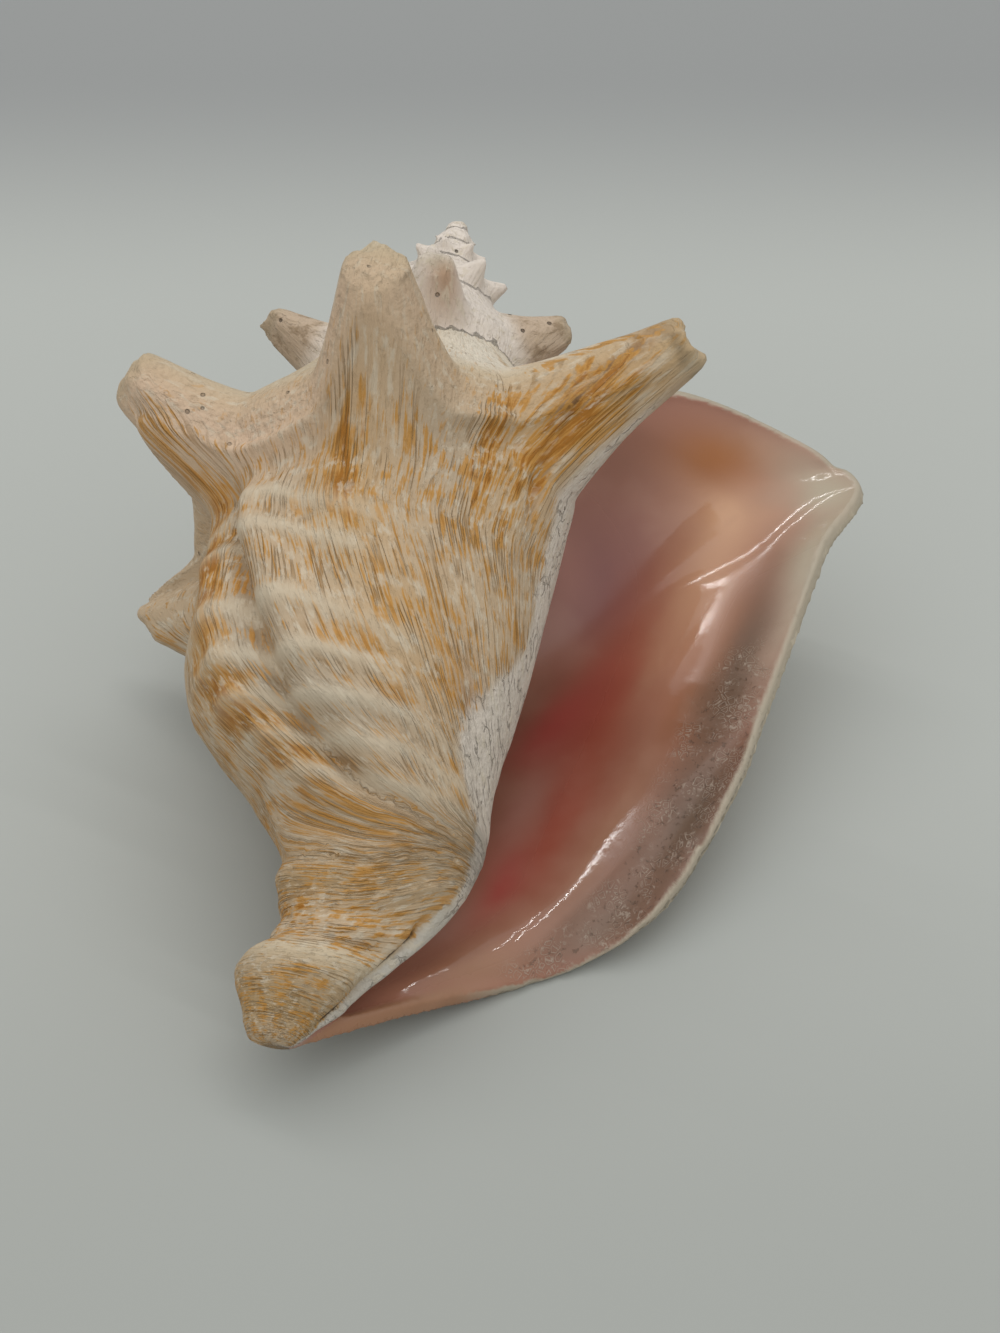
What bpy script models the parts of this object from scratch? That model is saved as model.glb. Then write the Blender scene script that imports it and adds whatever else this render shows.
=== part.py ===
"""A queen conch shell: one grown piece with a spined spire, a wide flared lip and a hollow whorl."""
import math

import bmesh
import bpy
import numpy as np
from mathutils import Vector

MM = 0.001

# Growth spiral, in mm. Growth runs backwards from the lip: 0 is the lip, 1 is one whorl earlier.
SHOULDER_RADIUS = 69.8
SHOULDER_DROP = 124.0
RADIUS_RATE = 0.598
DROP_RATE = 0.615
SHELL_LENGTH = 219.0
APEX_GROWTH = 6.4
AXIS_OVERLAP = 0.04

# Outline of the whorl at three stages of growth, from the seam of the whorl down to the canal tip.
# Each point is (distance from the axis, distance below the apex) in mm.
BACK_GROWTH = 0.20
BACK = [(30, 62), (43, 84), (61, 109), (56, 123), (50, 138), (44, 151),
        (33, 167), (21, 184), (12, 207), (4, SHELL_LENGTH)]
LEFT_GROWTH = 0.55
LEFT = [(24, 50), (36, 70), (47, 88), (42, 99), (40, 120), (36, 147),
        (26, 164), (17.5, 183), (12, 206), (5, SHELL_LENGTH)]
RIGHT_GROWTH = 1.00
RIGHT = [(18, 37), (27, 52), (38, 67), (42, 86), (41, 112), (38, 140),
         (30, 163), (21, 181), (13, 207), (4, SHELL_LENGTH)]
# The lip edge adds how many degrees the edge stays behind the half plane of growth 0.
LIP = [(25, 42, 16), (70, 24, 15), (117, 38, 11), (110, 66, 9), (102, 106, 10), (95, 136, 9),
       (82, 168, 12), (59, 188, 24), (31, 204, 22), (5, SHELL_LENGTH, 10)]
SHOULDER_POINT = 2

# The base of the body leans toward the lip side before the canal bends back.
BASE_LEAN = 13.5
BASE_LEAN_DROP = 180.0
BASE_LEAN_SPREAD = 22.0

# Spines on the shoulder: growth, length, upward angle, half width at the base, half width at the tip.
SPINES = [
    (0.130, 12.3, 0, 16, 6),
    (0.290, 13.0, 0, 14, 6),
    (0.385, 31, -8, 13, 3),
    (0.556, 24, 23, 13, 6),
    (0.725, 30, 26, 15, 6),
    (0.900, 40, 28, 14, 6),
    (1.100, 13, 26, 9, 4),
    (1.300, 14, 26, 9, 4),
    (1.510, 15, 28, 8, 4),
    (1.748, 12, 25, 8, 3),
    (1.968, 14, 30, 8, 3),
]
SPIRE_SPINE_SPACING = 0.125
SPIRE_SPINE_REACH = 0.34

# Growth lines sweep toward the lip side as they run down to the canal.
SWEEP = 0.34
SWEEP_START = 0.25
SWEEP_END = 0.77
SWEEP_POWER = 2.2

# Folds that run down the body along the growth lines: growth, half width, height in mm.
FOLDS = [(0.50, 0.026, 2.5), (0.545, 0.026, 2.0), (0.597, 0.018, -3.0), (0.650, 0.035, 2.0),
         (0.720, 0.018, -1.2), (0.790, 0.040, 1.2)]

# Rounded cords that run around the body: share of the outline where they start and end.
CORDS_START = 0.34
CORDS_END = 0.66
CORD_COUNT = 5
CORD_HEIGHT = 1.1

# The hollow of the last whorl, its walls and the pillar that it winds around.
WALL = 5.0
LIP_WALL = 3.4
PILLAR_RADIUS = 7.0
HOLLOW_DEPTH = 1.0
HOLLOW_TOP = 0.045
CANAL_END = 0.955
CANAL_RISE = 0.30
CANAL_RISE_GROWTH = 0.45
MOUTH_REACH = 12.0
MOUTH_START = 13.0
EARLY_GROWTH = 0.90

# Resting pose, in degrees, and the height of the apex centre line over the ground.
REST_TURN = (-67.0, 8.37, -7.35)
REST_HEIGHT = 101.2

# Mesh sizes.
OUTLINE_STEPS = 96
STEPS_PER_WHORL = 180
VOXEL = 1.5
TRIANGLES = 9400


def shoulder(growth):
    """Distance from the axis and distance below the apex of the shoulder."""
    return (SHOULDER_RADIUS * np.exp(-RADIUS_RATE * growth),
            SHOULDER_DROP * np.exp(-DROP_RATE * growth))


def flare(growth):
    """Share of the lip's own shape: 1 at the edge, 0 from the back of the last whorl on."""
    return np.clip(1 - growth / BACK_GROWTH, 0, 1) ** 2


def spline_weights(steps, points):
    """Weights that turn control points into a smooth curve of steps samples."""
    weights = np.zeros((steps, points))
    for row in range(steps):
        place = row * (points - 1) / (steps - 1)
        first = min(int(place), points - 2)
        u = place - first
        basis = (-0.5 * u + u * u - 0.5 * u ** 3,
                 1 - 2.5 * u * u + 1.5 * u ** 3,
                 0.5 * u + 2 * u * u - 1.5 * u ** 3,
                 -0.5 * u * u + 0.5 * u ** 3)
        for offset, weight in enumerate(basis):
            weights[row, min(max(first - 1 + offset, 0), points - 1)] += weight
    return weights


def monotone_slopes(knots, values):
    """Slopes at the inner knots that never overshoot."""
    steps = np.diff(knots)[:, None]
    secants = np.diff(values, axis=0) / steps
    before = secants[:-1]
    after = secants[1:]
    mean = 2 * before * after / np.where(before + after == 0, 1, before + after)
    return np.where(before * after > 0, mean, 0)


def outline_controls(growth):
    """Outline points of every growth in the array: radius, drop and lag in mm and radians."""
    wound = np.clip(np.floor(growth - BACK_GROWTH), 0, None)
    stage = np.clip(growth - wound, 0, None)
    shrink = np.array([-RADIUS_RATE, -DROP_RATE])
    knots = np.array([RIGHT_GROWTH - 1, BACK_GROWTH, LEFT_GROWTH, RIGHT_GROWTH,
                      BACK_GROWTH + 1, LEFT_GROWTH + 1])
    shapes = [np.log(np.array(shape, float)) for shape in (BACK, LEFT, RIGHT)]
    values = np.array([shapes[2] - shrink, shapes[0], shapes[1], shapes[2],
                       shapes[0] + shrink, shapes[1] + shrink])
    slopes = monotone_slopes(knots, values.reshape(6, -1)).reshape(4, -1, 2)
    lip = np.log(np.array([point[:2] for point in LIP], float))
    lip_slope = 1.5 * (values[1] - lip) / BACK_GROWTH
    ends = np.array([0, BACK_GROWTH, LEFT_GROWTH, RIGHT_GROWTH, BACK_GROWTH + 1])
    end_values = np.array([lip, *values[1:5]])
    end_slopes = np.array([lip_slope, *slopes])
    span = np.clip(np.searchsorted(ends, stage, side="right") - 1, 0, 3)
    width = (ends[span + 1] - ends[span])[:, None, None]
    u = (stage - ends[span])[:, None, None] / width
    logs = ((1 + 2 * u) * (1 - u) ** 2 * end_values[span]
            + u * (1 - u) ** 2 * width * end_slopes[span]
            + u * u * (3 - 2 * u) * end_values[span + 1]
            + u * u * (u - 1) * width * end_slopes[span + 1])
    logs += wound[:, None, None] * shrink
    lag = np.radians([point[2] for point in LIP]) * flare(growth)[:, None]
    return np.exp(logs[:, :, 0]), np.exp(logs[:, :, 1]), lag


def to_space(growth, radius, drop, lag, flare=0):
    """Points of the shell in mm, axis upright and apex at the origin."""
    angle = 2 * math.pi * (1 - growth) - lag
    lean = BASE_LEAN * np.exp(-((drop - BASE_LEAN_DROP) / BASE_LEAN_SPREAD) ** 2)
    lean = lean * (1 - flare) * np.clip(3 - 2 * growth, 0, 1)
    return np.stack((radius * np.cos(angle) + lean, -radius * np.sin(angle), -drop), axis=-1)


def bell(value, centre, width):
    """Smooth bump of height 1."""
    return np.exp(-((value - centre) / width) ** 2)


def growth_line(growth, share):
    """Growth at the shoulder end of the growth line that passes through a point."""
    swept = np.clip((share - SWEEP_START) / (SWEEP_END - SWEEP_START), 0, None)
    return growth - SWEEP * swept ** SWEEP_POWER


def relief(growth, share):
    """Height of the folds and the cords over the smooth outline, in mm."""
    line = growth_line(growth, share)
    height = sum(high * bell(line, where, wide) for where, wide, high in FOLDS)
    height = height * bell(share, 0.46, 0.26)
    phase = (share - CORDS_START) / (CORDS_END - CORDS_START)
    cords = np.where(np.abs(phase - 0.5) < 0.5, np.sin(math.pi * CORD_COUNT * phase) ** 2, 0)
    shown = 0.35 + 0.65 * np.clip(sum(bell(line, where, 0.035) for where in (0.53, 0.66)), 0, 1)
    return (height + CORD_HEIGHT * cords * shown) * bell(growth, 0.60, 0.23)


def spine_list():
    """Every spine, the measured ones and the small regular ones of the early whorls."""
    spines = list(SPINES)
    growth = SPINES[-1][0] + SPIRE_SPINE_SPACING
    while growth < APEX_GROWTH - 0.6:
        radius = shoulder(growth)[0]
        spines.append((growth, SPIRE_SPINE_REACH * radius, 25, 0.26 * radius, 0.08 * radius))
        growth += SPIRE_SPINE_SPACING
    return spines


def raise_spines(growth, surface):
    """Push the surface outward around the axis of each spine."""
    raised = surface.copy()
    for where, length, tilt, base, tip in spine_list():
        radius, drop, lag = outline_controls(np.array([where]))
        foot = to_space(np.array([where]), radius[:, SHOULDER_POINT], drop[:, SHOULDER_POINT],
                        lag[:, SHOULDER_POINT])[0]
        angle = 2 * math.pi * (1 - where) - lag[0, SHOULDER_POINT]
        rise = math.radians(tilt)
        outward = np.array([math.cos(angle) * math.cos(rise), -math.sin(angle) * math.cos(rise),
                            math.sin(rise)])
        near = np.abs(growth - where) < 0.2
        offset = surface[near] - foot
        along = offset @ outward
        away = np.linalg.norm(offset - along[..., None] * outward, axis=-1)
        height = np.clip((1.25 * base - away) / (1.25 * base - tip), 0, 1)
        skirt = np.exp(-(away / (1.5 * base)) ** 2)
        fade = np.exp(-(np.clip(-along - 0.4 * base, 0, None) / (0.5 * base)) ** 2)
        push = length * (0.82 * height ** 1.4 + 0.18 * skirt) * fade
        raised[near] += push[..., None] * outward
    return raised


def outer_surface(growth, detailed=True):
    """Outer surface, one row of samples per growth, from the seam to the canal tip."""
    radius, drop, lag = outline_controls(growth)
    weights = spline_weights(OUTLINE_STEPS, len(LIP))
    rows = np.broadcast_to(growth[:, None], (len(growth), OUTLINE_STEPS))
    radius = radius @ weights.T
    if detailed:
        radius = radius + relief(rows, np.linspace(0, 1, OUTLINE_STEPS)[None, :])
    surface = to_space(rows, radius, drop @ weights.T, lag @ weights.T, flare(rows))
    return raise_spines(growth, surface) if detailed else surface


def inner_surface(growth):
    """The outer surface without its spines, moved inward by the thickness of the wall."""
    plain = outer_surface(growth, detailed=False)
    along = np.gradient(plain, growth, axis=0)
    across = np.gradient(plain, axis=1)
    inward = np.cross(along, across)
    inward /= np.linalg.norm(inward, axis=-1, keepdims=True)
    return plain + inward * (WALL + (LIP_WALL - WALL) * flare(growth)[:, None, None])


def axis_side(growth, outer, radius, count=12):
    """Straight side that runs up near the axis from the last sample of each row to the first."""
    share = np.linspace(0, 1, count)[None, :]
    drop = -(outer[:, -1, 2:3] * (1 - share) + outer[:, 0, 2:3] * share)
    rows = np.broadcast_to(growth[:, None], drop.shape)
    radii = np.broadcast_to(np.reshape(radius, (-1, 1)), drop.shape)
    return to_space(rows, radii, drop, 0)


def whorl_rings(growth):
    """Closed rings of a solid whorl: the outer surface and a side just past the axis."""
    outer = outer_surface(growth)
    if growth[0] == 0:
        outer = np.concatenate((inner_surface(growth)[:1], outer))
        growth = np.concatenate((growth[:1], growth))
    past_axis = -AXIS_OVERLAP * shoulder(growth)[0]
    return np.concatenate((outer, axis_side(growth, outer, past_axis)), axis=1)


def open_mouth(rings):
    """Carry the first ring forward, so that the hollow breaks out through the aperture."""
    distance = np.linalg.norm(rings[:1, :, :2], axis=-1, keepdims=True)
    reach = MOUTH_REACH * np.clip((distance - MOUTH_START) / MOUTH_START, 0, 1)
    steps = np.linspace(1, 0, 6)[:-1, None, None]
    forward = rings[:1] + steps * reach * np.array([0.0, -1.0, 0.0])
    return np.concatenate((forward, rings))


def hollow_rings(growth):
    """Closed rings of the hollow: the outer surface moved inward by the wall, and the pillar."""
    inner = inner_surface(growth)
    samples = np.linspace(0, 1, OUTLINE_STEPS)
    hollow = np.empty_like(inner)
    for row, now in enumerate(growth):
        lowest = CANAL_END - CANAL_RISE * min(max(now, 0) / CANAL_RISE_GROWTH, 1)
        kept = np.linspace(HOLLOW_TOP, lowest, OUTLINE_STEPS)
        for axis in range(3):
            hollow[row, :, axis] = np.interp(kept, samples, inner[row, :, axis])
    pillar = PILLAR_RADIUS * np.exp(-RADIUS_RATE * growth)
    return np.concatenate((hollow, axis_side(growth, hollow, pillar)), axis=1)


def grow(name, growth, rings):
    """Object whose closed cross-sections are the given rings: a grid rolled up and capped."""
    rows, columns = rings.shape[:2]
    bm = bmesh.new()
    bmesh.ops.create_grid(bm, x_segments=columns, y_segments=rows - 1, size=0.5)
    for vert in bm.verts:
        column = round((vert.co.x + 0.5) * columns) % columns
        row = round((vert.co.y + 0.5) * (rows - 1))
        vert.co = Vector(rings[row, column]) * MM
    bmesh.ops.remove_doubles(bm, verts=bm.verts, dist=1e-7)
    bmesh.ops.holes_fill(bm, edges=[edge for edge in bm.edges if edge.is_boundary])
    bmesh.ops.recalc_face_normals(bm, faces=bm.faces)
    mesh = bpy.data.meshes.new(name)
    bm.to_mesh(mesh)
    bm.free()
    grown = bpy.data.objects.new(name, mesh)
    bpy.context.scene.collection.objects.link(grown)
    return grown


def block(name, width, height):
    """Flat square block centred on its origin."""
    bm = bmesh.new()
    bmesh.ops.create_cube(bm, size=1)
    bmesh.ops.scale(bm, vec=(width, width, height), verts=bm.verts)
    mesh = bpy.data.meshes.new(name)
    bm.to_mesh(mesh)
    bm.free()
    solid = bpy.data.objects.new(name, mesh)
    bpy.context.scene.collection.objects.link(solid)
    return solid


def guide(thing):
    """Mark an object as a guide that only shapes the shell."""
    thing.hide_render = True
    thing.display_type = "WIRE"
    return thing


def remesh(thing, size):
    modifier = thing.modifiers.new("Even skin", "REMESH")
    modifier.mode = "VOXEL"
    modifier.voxel_size = size * MM


def combine(thing, other, operation):
    modifier = thing.modifiers.new(operation.title() + " " + other.name, "BOOLEAN")
    modifier.operation = operation
    modifier.solver = "MANIFOLD"
    modifier.object = other


def shell_material():
    material = bpy.data.materials.new("shell_lime")
    material.use_nodes = True
    surface = material.node_tree.nodes["Principled BSDF"]
    surface.inputs["Base Color"].default_value = (0.70, 0.55, 0.40, 1.0)
    surface.inputs["Roughness"].default_value = 0.55
    surface.inputs["Metallic"].default_value = 0.0
    return material


def evaluated(thing):
    """Mesh of an object after its modifiers."""
    return thing.evaluated_get(bpy.context.evaluated_depsgraph_get()).data


def growth_steps(first, last):
    """Growth values between two stages, one for each step of the spiral."""
    return np.linspace(first, last, round((last - first) * STEPS_PER_WHORL))


def main():
    for thing in list(bpy.data.objects):
        bpy.data.objects.remove(thing, do_unlink=True)

    whole = growth_steps(0, APEX_GROWTH)
    early = growth_steps(EARLY_GROWTH, APEX_GROWTH)
    inside = growth_steps(0, HOLLOW_DEPTH)

    shell = grow("conch_shell", whole, whorl_rings(whole))
    early_whorls = guide(grow("early_whorls", early, whorl_rings(early)))
    hollow = guide(grow("hollow", inside, open_mouth(hollow_rings(inside))))
    rest_pose = bpy.data.objects.new("rest_pose", None)
    bpy.context.scene.collection.objects.link(rest_pose)
    rest_pose.location = (0, 0, REST_HEIGHT * MM)
    rest_pose.rotation_euler = [math.radians(turn) for turn in REST_TURN]
    for thing in (shell, early_whorls, hollow):
        thing.parent = rest_pose
    remesh(early_whorls, VOXEL)
    remesh(hollow, VOXEL)
    combine(hollow, early_whorls, "DIFFERENCE")
    remesh(shell, VOXEL)
    combine(shell, hollow, "DIFFERENCE")
    remesh(shell, VOXEL)
    shell.data.materials.append(shell_material())
    facets = shell.modifiers.new("Facets", "DECIMATE")
    facets.ratio = TRIANGLES / (2 * len(evaluated(shell).vertices))
    corners = [shell.matrix_world @ vert.co for vert in evaluated(shell).vertices]
    for axis in range(2):
        places = [corner[axis] for corner in corners]
        rest_pose.location[axis] = -(min(places) + max(places)) / 2

    # Three small worn spots, level with the ground, carry the shell: two spines and the lip edge.
    ground = guide(block("ground", 0.4, 0.02))
    ground.location.z = -0.01
    combine(shell, ground, "DIFFERENCE")


if __name__ == "__main__":
    main()
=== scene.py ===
# %% [markdown]
# # A queen conch shell
#
# The real thing is one piece of lime that a sea snail grew at the lip of its shell, year after year.
# Outside it is dry and chalky, with ochre streaks along the growth lines, worn spines and a cracked
# callus. Inside it is a smooth pink glaze. This lesson grows the same surface as the CAD shell, with
# finer relief, and then paints and lights it as in the photograph.
#
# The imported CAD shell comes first, because it fixes the place and the size of everything.

import functools
import math

import bmesh
import bpy
import numpy as np
from mathutils import Euler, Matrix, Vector
from mathutils.kdtree import KDTree


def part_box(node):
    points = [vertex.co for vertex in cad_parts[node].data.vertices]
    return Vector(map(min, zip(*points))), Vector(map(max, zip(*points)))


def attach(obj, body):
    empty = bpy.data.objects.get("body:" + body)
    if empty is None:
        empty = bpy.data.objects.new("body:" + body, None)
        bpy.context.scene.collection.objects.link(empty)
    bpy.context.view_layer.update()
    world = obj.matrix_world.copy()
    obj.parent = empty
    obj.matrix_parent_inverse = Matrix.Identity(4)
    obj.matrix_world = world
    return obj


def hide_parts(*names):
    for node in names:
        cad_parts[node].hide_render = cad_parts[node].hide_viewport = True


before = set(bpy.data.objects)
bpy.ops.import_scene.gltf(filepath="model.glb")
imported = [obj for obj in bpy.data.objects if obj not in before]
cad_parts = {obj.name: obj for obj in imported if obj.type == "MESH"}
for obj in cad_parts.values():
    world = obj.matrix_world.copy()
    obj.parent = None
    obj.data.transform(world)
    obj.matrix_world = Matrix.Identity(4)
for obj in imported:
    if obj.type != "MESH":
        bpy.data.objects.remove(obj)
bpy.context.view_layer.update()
MM = 0.001
shell_low, shell_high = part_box("conch_shell")
print("CAD shell in mm:", [round((b - a) / MM, 1) for a, b in zip(shell_low, shell_high)])

# %% [markdown]
# ## The camera
#
# A camera is a focal length and a place. Both were worked out from the photograph, where the spiral
# fixes the shell's axis and the even spacing of its whorls fixes the distance. The camera looks down
# at the shell, as someone does who stands at a table. It has no shift and no depth of field.

# %% Camera
IMAGE_HEIGHT = 1333
FOCAL_LENGTH_PIXELS = 2000
REST_PLACE = Vector((-10.07, 100.89, 101.20)) * MM
CAMERA_FROM_REST = Vector((10.95, -466.1, 254.3)) * MM
CAMERA_TILT = 49.0

camera_data = bpy.data.cameras.new("photo_camera")
camera_data.sensor_width = 36
camera_data.lens = FOCAL_LENGTH_PIXELS / IMAGE_HEIGHT * camera_data.sensor_width
camera_data.clip_start = 0.01
camera = bpy.data.objects.new("photo_camera", camera_data)
bpy.context.scene.collection.objects.link(camera)
camera.location = REST_PLACE + CAMERA_FROM_REST
camera.rotation_euler = (math.radians(CAMERA_TILT), 0, 0)
bpy.context.scene.camera = camera
print("lens in mm:", round(camera_data.lens, 2))

# %% [markdown]
# ## The spiral
#
# A shell grows by the same share in each turn, so its shoulder follows a logarithmic spiral. The
# variable `growth` counts whorls backwards from the lip: 0 is the lip, 1 is one whorl earlier, and
# the apex is near 6.4. The outline from the seam down to the canal tip is a smooth curve through a few
# points, given for three stages of the last whorl. The flared lip has an outline of its own.

# %% Growth spiral
SHOULDER_RADIUS = 69.8
RADIUS_RATE = 0.598
DROP_RATE = 0.615
SHELL_LENGTH = 219.0
APEX_GROWTH = 6.4
AXIS_OVERLAP = 0.04

# Each point is (distance from the axis, distance below the apex) in mm, from seam to canal tip.
BACK_GROWTH = 0.20
BACK = [(30, 62), (43, 84), (61, 109), (56, 123), (50, 138), (44, 151),
        (33, 167), (21, 184), (12, 207), (4, SHELL_LENGTH)]
LEFT_GROWTH = 0.55
LEFT = [(24, 50), (36, 70), (47, 88), (42, 99), (40, 120), (36, 147),
        (26, 164), (17.5, 183), (12, 206), (5, SHELL_LENGTH)]
RIGHT_GROWTH = 1.00
RIGHT = [(18, 37), (27, 52), (38, 67), (42, 86), (41, 112), (38, 140),
         (30, 163), (21, 181), (13, 207), (4, SHELL_LENGTH)]
# The lip edge adds how many degrees it stays behind the half plane of growth 0.
LIP = [(25, 42, 16), (70, 24, 15), (117, 38, 11), (110, 66, 9), (102, 106, 10), (95, 136, 9),
       (82, 168, 12), (59, 188, 24), (31, 204, 22), (5, SHELL_LENGTH, 10)]
SHOULDER_POINT = 2
BASE_LEAN = 13.5
BASE_LEAN_DROP = 180.0
BASE_LEAN_SPREAD = 22.0


def flare(growth):
    """Share of the lip's own shape: 1 at the edge, 0 from the back of the last whorl on."""
    return np.clip(1 - growth / BACK_GROWTH, 0, 1) ** 2


def spline_weights(steps, points):
    """Weights that turn control points into a smooth curve of steps samples."""
    weights = np.zeros((steps, points))
    for row in range(steps):
        place = row * (points - 1) / (steps - 1)
        first = min(int(place), points - 2)
        u = place - first
        basis = (-0.5 * u + u * u - 0.5 * u ** 3,
                 1 - 2.5 * u * u + 1.5 * u ** 3,
                 0.5 * u + 2 * u * u - 1.5 * u ** 3,
                 -0.5 * u * u + 0.5 * u ** 3)
        for offset, weight in enumerate(basis):
            weights[row, min(max(first - 1 + offset, 0), points - 1)] += weight
    return weights


def monotone_slopes(knots, values):
    """Slopes at the inner knots that never overshoot."""
    steps = np.diff(knots)[:, None]
    secants = np.diff(values, axis=0) / steps
    before = secants[:-1]
    after = secants[1:]
    mean = 2 * before * after / np.where(before + after == 0, 1, before + after)
    return np.where(before * after > 0, mean, 0)


def outline_controls(growth):
    """Outline points of every growth in the array: radius, drop and lag in mm and radians."""
    wound = np.clip(np.floor(growth - BACK_GROWTH), 0, None)
    stage = np.clip(growth - wound, 0, None)
    shrink = np.array([-RADIUS_RATE, -DROP_RATE])
    knots = np.array([RIGHT_GROWTH - 1, BACK_GROWTH, LEFT_GROWTH, RIGHT_GROWTH,
                      BACK_GROWTH + 1, LEFT_GROWTH + 1])
    shapes = [np.log(np.array(shape, float)) for shape in (BACK, LEFT, RIGHT)]
    values = np.array([shapes[2] - shrink, shapes[0], shapes[1], shapes[2],
                       shapes[0] + shrink, shapes[1] + shrink])
    slopes = monotone_slopes(knots, values.reshape(6, -1)).reshape(4, -1, 2)
    lip = np.log(np.array([point[:2] for point in LIP], float))
    lip_slope = 1.5 * (values[1] - lip) / BACK_GROWTH
    ends = np.array([0, BACK_GROWTH, LEFT_GROWTH, RIGHT_GROWTH, BACK_GROWTH + 1])
    end_values = np.array([lip, *values[1:5]])
    end_slopes = np.array([lip_slope, *slopes])
    part = np.clip(np.searchsorted(ends, stage, side="right") - 1, 0, 3)
    width = (ends[part + 1] - ends[part])[:, None, None]
    u = (stage - ends[part])[:, None, None] / width
    logs = ((1 + 2 * u) * (1 - u) ** 2 * end_values[part]
            + u * (1 - u) ** 2 * width * end_slopes[part]
            + u * u * (3 - 2 * u) * end_values[part + 1]
            + u * u * (u - 1) * width * end_slopes[part + 1])
    logs += wound[:, None, None] * shrink
    lag = np.radians([point[2] for point in LIP]) * flare(growth)[:, None]
    return np.exp(logs[:, :, 0]), np.exp(logs[:, :, 1]), lag


def to_space(growth, radius, drop, lag, flare=0):
    """Points of the shell in mm, axis upright and apex at the origin."""
    angle = 2 * math.pi * (1 - growth) - lag
    lean = BASE_LEAN * np.exp(-((drop - BASE_LEAN_DROP) / BASE_LEAN_SPREAD) ** 2)
    lean = lean * (1 - flare) * np.clip(3 - 2 * growth, 0, 1)
    return np.stack((radius * np.cos(angle) + lean, -radius * np.sin(angle), -drop), axis=-1)


print("radius of the shoulder at each whorl:",
      [round(SHOULDER_RADIUS * math.exp(-RADIUS_RATE * whorl), 1) for whorl in range(7)])

# %% [markdown]
# ## Small helpers
#
# Some short functions are used all through the file: a smooth bump, a smooth step, a step up and down,
# a look-up along a path and a sum of bumps. Nothing in a shell is quite even, so the relief also needs
# a noise whose scale is known: random numbers on a lattice, blended smoothly between the lattice
# points. It has no seed that changes, so the shell is the same in each run.

# %% Small helpers
def bell(value, centre, width):
    """Smooth bump of height 1."""
    return np.exp(-((value - centre) / width) ** 2)


def ease(value, start, end):
    """Smooth step from 0 at start to 1 at end."""
    t = np.clip((value - start) / (end - start), 0, 1)
    return t * t * (3 - 2 * t)


def span(value, begins, full, fades, gone):
    """Smooth step up and a later one down again."""
    return ease(value, begins, full) * (1 - ease(value, fades, gone))


def follow(path, value):
    """Second number of a path of pairs, at a given first number."""
    return np.interp(value, *zip(*path))


def stack(forms, value):
    """Sum of bumps, each given by its place, half width and height."""
    return sum(high * bell(value, where, wide) for where, wide, high in forms)


def lattice(x, y, seed):
    """Repeatable random number from -1 to 1 at whole numbers x, y."""
    mixed = np.sin(x * 127.1 + y * 311.7 + seed * 74.7) * 43758.5453
    return 2 * (mixed - np.floor(mixed)) - 1


def noise(x, y, seed=0):
    """Smooth noise from -1 to 1 with lumps one unit wide."""
    left = np.floor(x)
    low = np.floor(y)
    u = ease(x - left, 0, 1)
    v = ease(y - low, 0, 1)
    bottom = lattice(left, low, seed) * (1 - u) + lattice(left + 1, low, seed) * u
    top = lattice(left, low + 1, seed) * (1 - u) + lattice(left + 1, low + 1, seed) * u
    return bottom * (1 - v) + top * v


def rough(x, y, seed=0):
    """Two layers of noise, the second twice as fine."""
    return (noise(x, y, seed) + 0.5 * noise(2 * x + 17, 2 * y + 5, seed + 1)) / 1.5


print("noise runs from", round(float(noise(np.arange(0, 90, 0.37), 0.5).min()), 2), "up")

# %% [markdown]
# ## Growth lines
#
# The lip leaves a line on the shell each time it stops growing. On the body these lines run down from
# the shoulder and sweep toward the lip. Near the base they turn and wrap around the canal as rings.
# One function gives each place the number of the growth line that passes through it, and everything
# that follows the growth lines, relief and streaks alike, uses that number.

# %% Growth lines
SWEEP = 0.76
SWEEP_START = 0.40
SWEEP_POWER = 1.2
# The sweep is weaker on older growth: change per whorl, whorl where it is full, least share of it.
PULL = (2.7, 0.8, 0.3)
# Beside the canal the lines fan out: rise in share, growth where it begins and is full, share, width.
FAN_RISE = 0.045
FAN_GROWTH = (0.72, 0.95)
FAN_SHARE = (0.76, 0.06)
# Where the lines turn into rings: first and full share, first and full growth.
RING_SHARE = (0.68, 0.82)
RING_GROWTH = (0.12, 0.42)
RING_OFFSET = 1.12
RING_RATE = 0.9


def lift(growth, share):
    """Share of the outline, raised a little where the lines fan out beside the canal."""
    return share + FAN_RISE * ease(growth, *FAN_GROWTH) * bell(share, *FAN_SHARE)


def ring_turn(growth, share):
    """1 where the growth lines are rings around the canal, 0 where they run down the body."""
    return ease(lift(growth, share), *RING_SHARE) * ease(growth, *RING_GROWTH)


def growth_line(growth, share):
    """Number of the growth line that passes through a place on the outside."""
    lifted = lift(growth, share)
    rate, full, least = PULL
    pull = np.clip(1 + rate * (growth - full), least, 1)
    swept = growth - SWEEP * np.clip(lifted - SWEEP_START, 0, None) ** SWEEP_POWER * pull
    rings = RING_OFFSET - RING_RATE * lifted
    turned = ring_turn(growth, share)
    return swept * (1 - turned) + rings * turned


print("line through the left fold:", round(float(growth_line(0.618, 0.607)), 3))

# %% [markdown]
# ## Relief
#
# The photograph shows two broad folds down the left of the body with a groove between them, low cords
# that cross them, fine ribs along the growth lines, a notch where the canal begins and a narrow slit
# beside it. A few broad swellings and hollows bring the left side to the outline in the photograph.
# Each is a small height in mm that is added to the smooth outline, so each can be tuned alone.

# %% Relief of the outside
# Folds along the growth lines: line, half width, height in mm.
FOLDS = [(0.565, 0.020, 2.4), (0.607, 0.009, -4.8), (0.638, 0.018, 3.2), (0.690, 0.014, -1.1),
         (0.742, 0.022, 1.0), (0.788, 0.012, -0.8), (0.832, 0.018, 0.8)]
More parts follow.
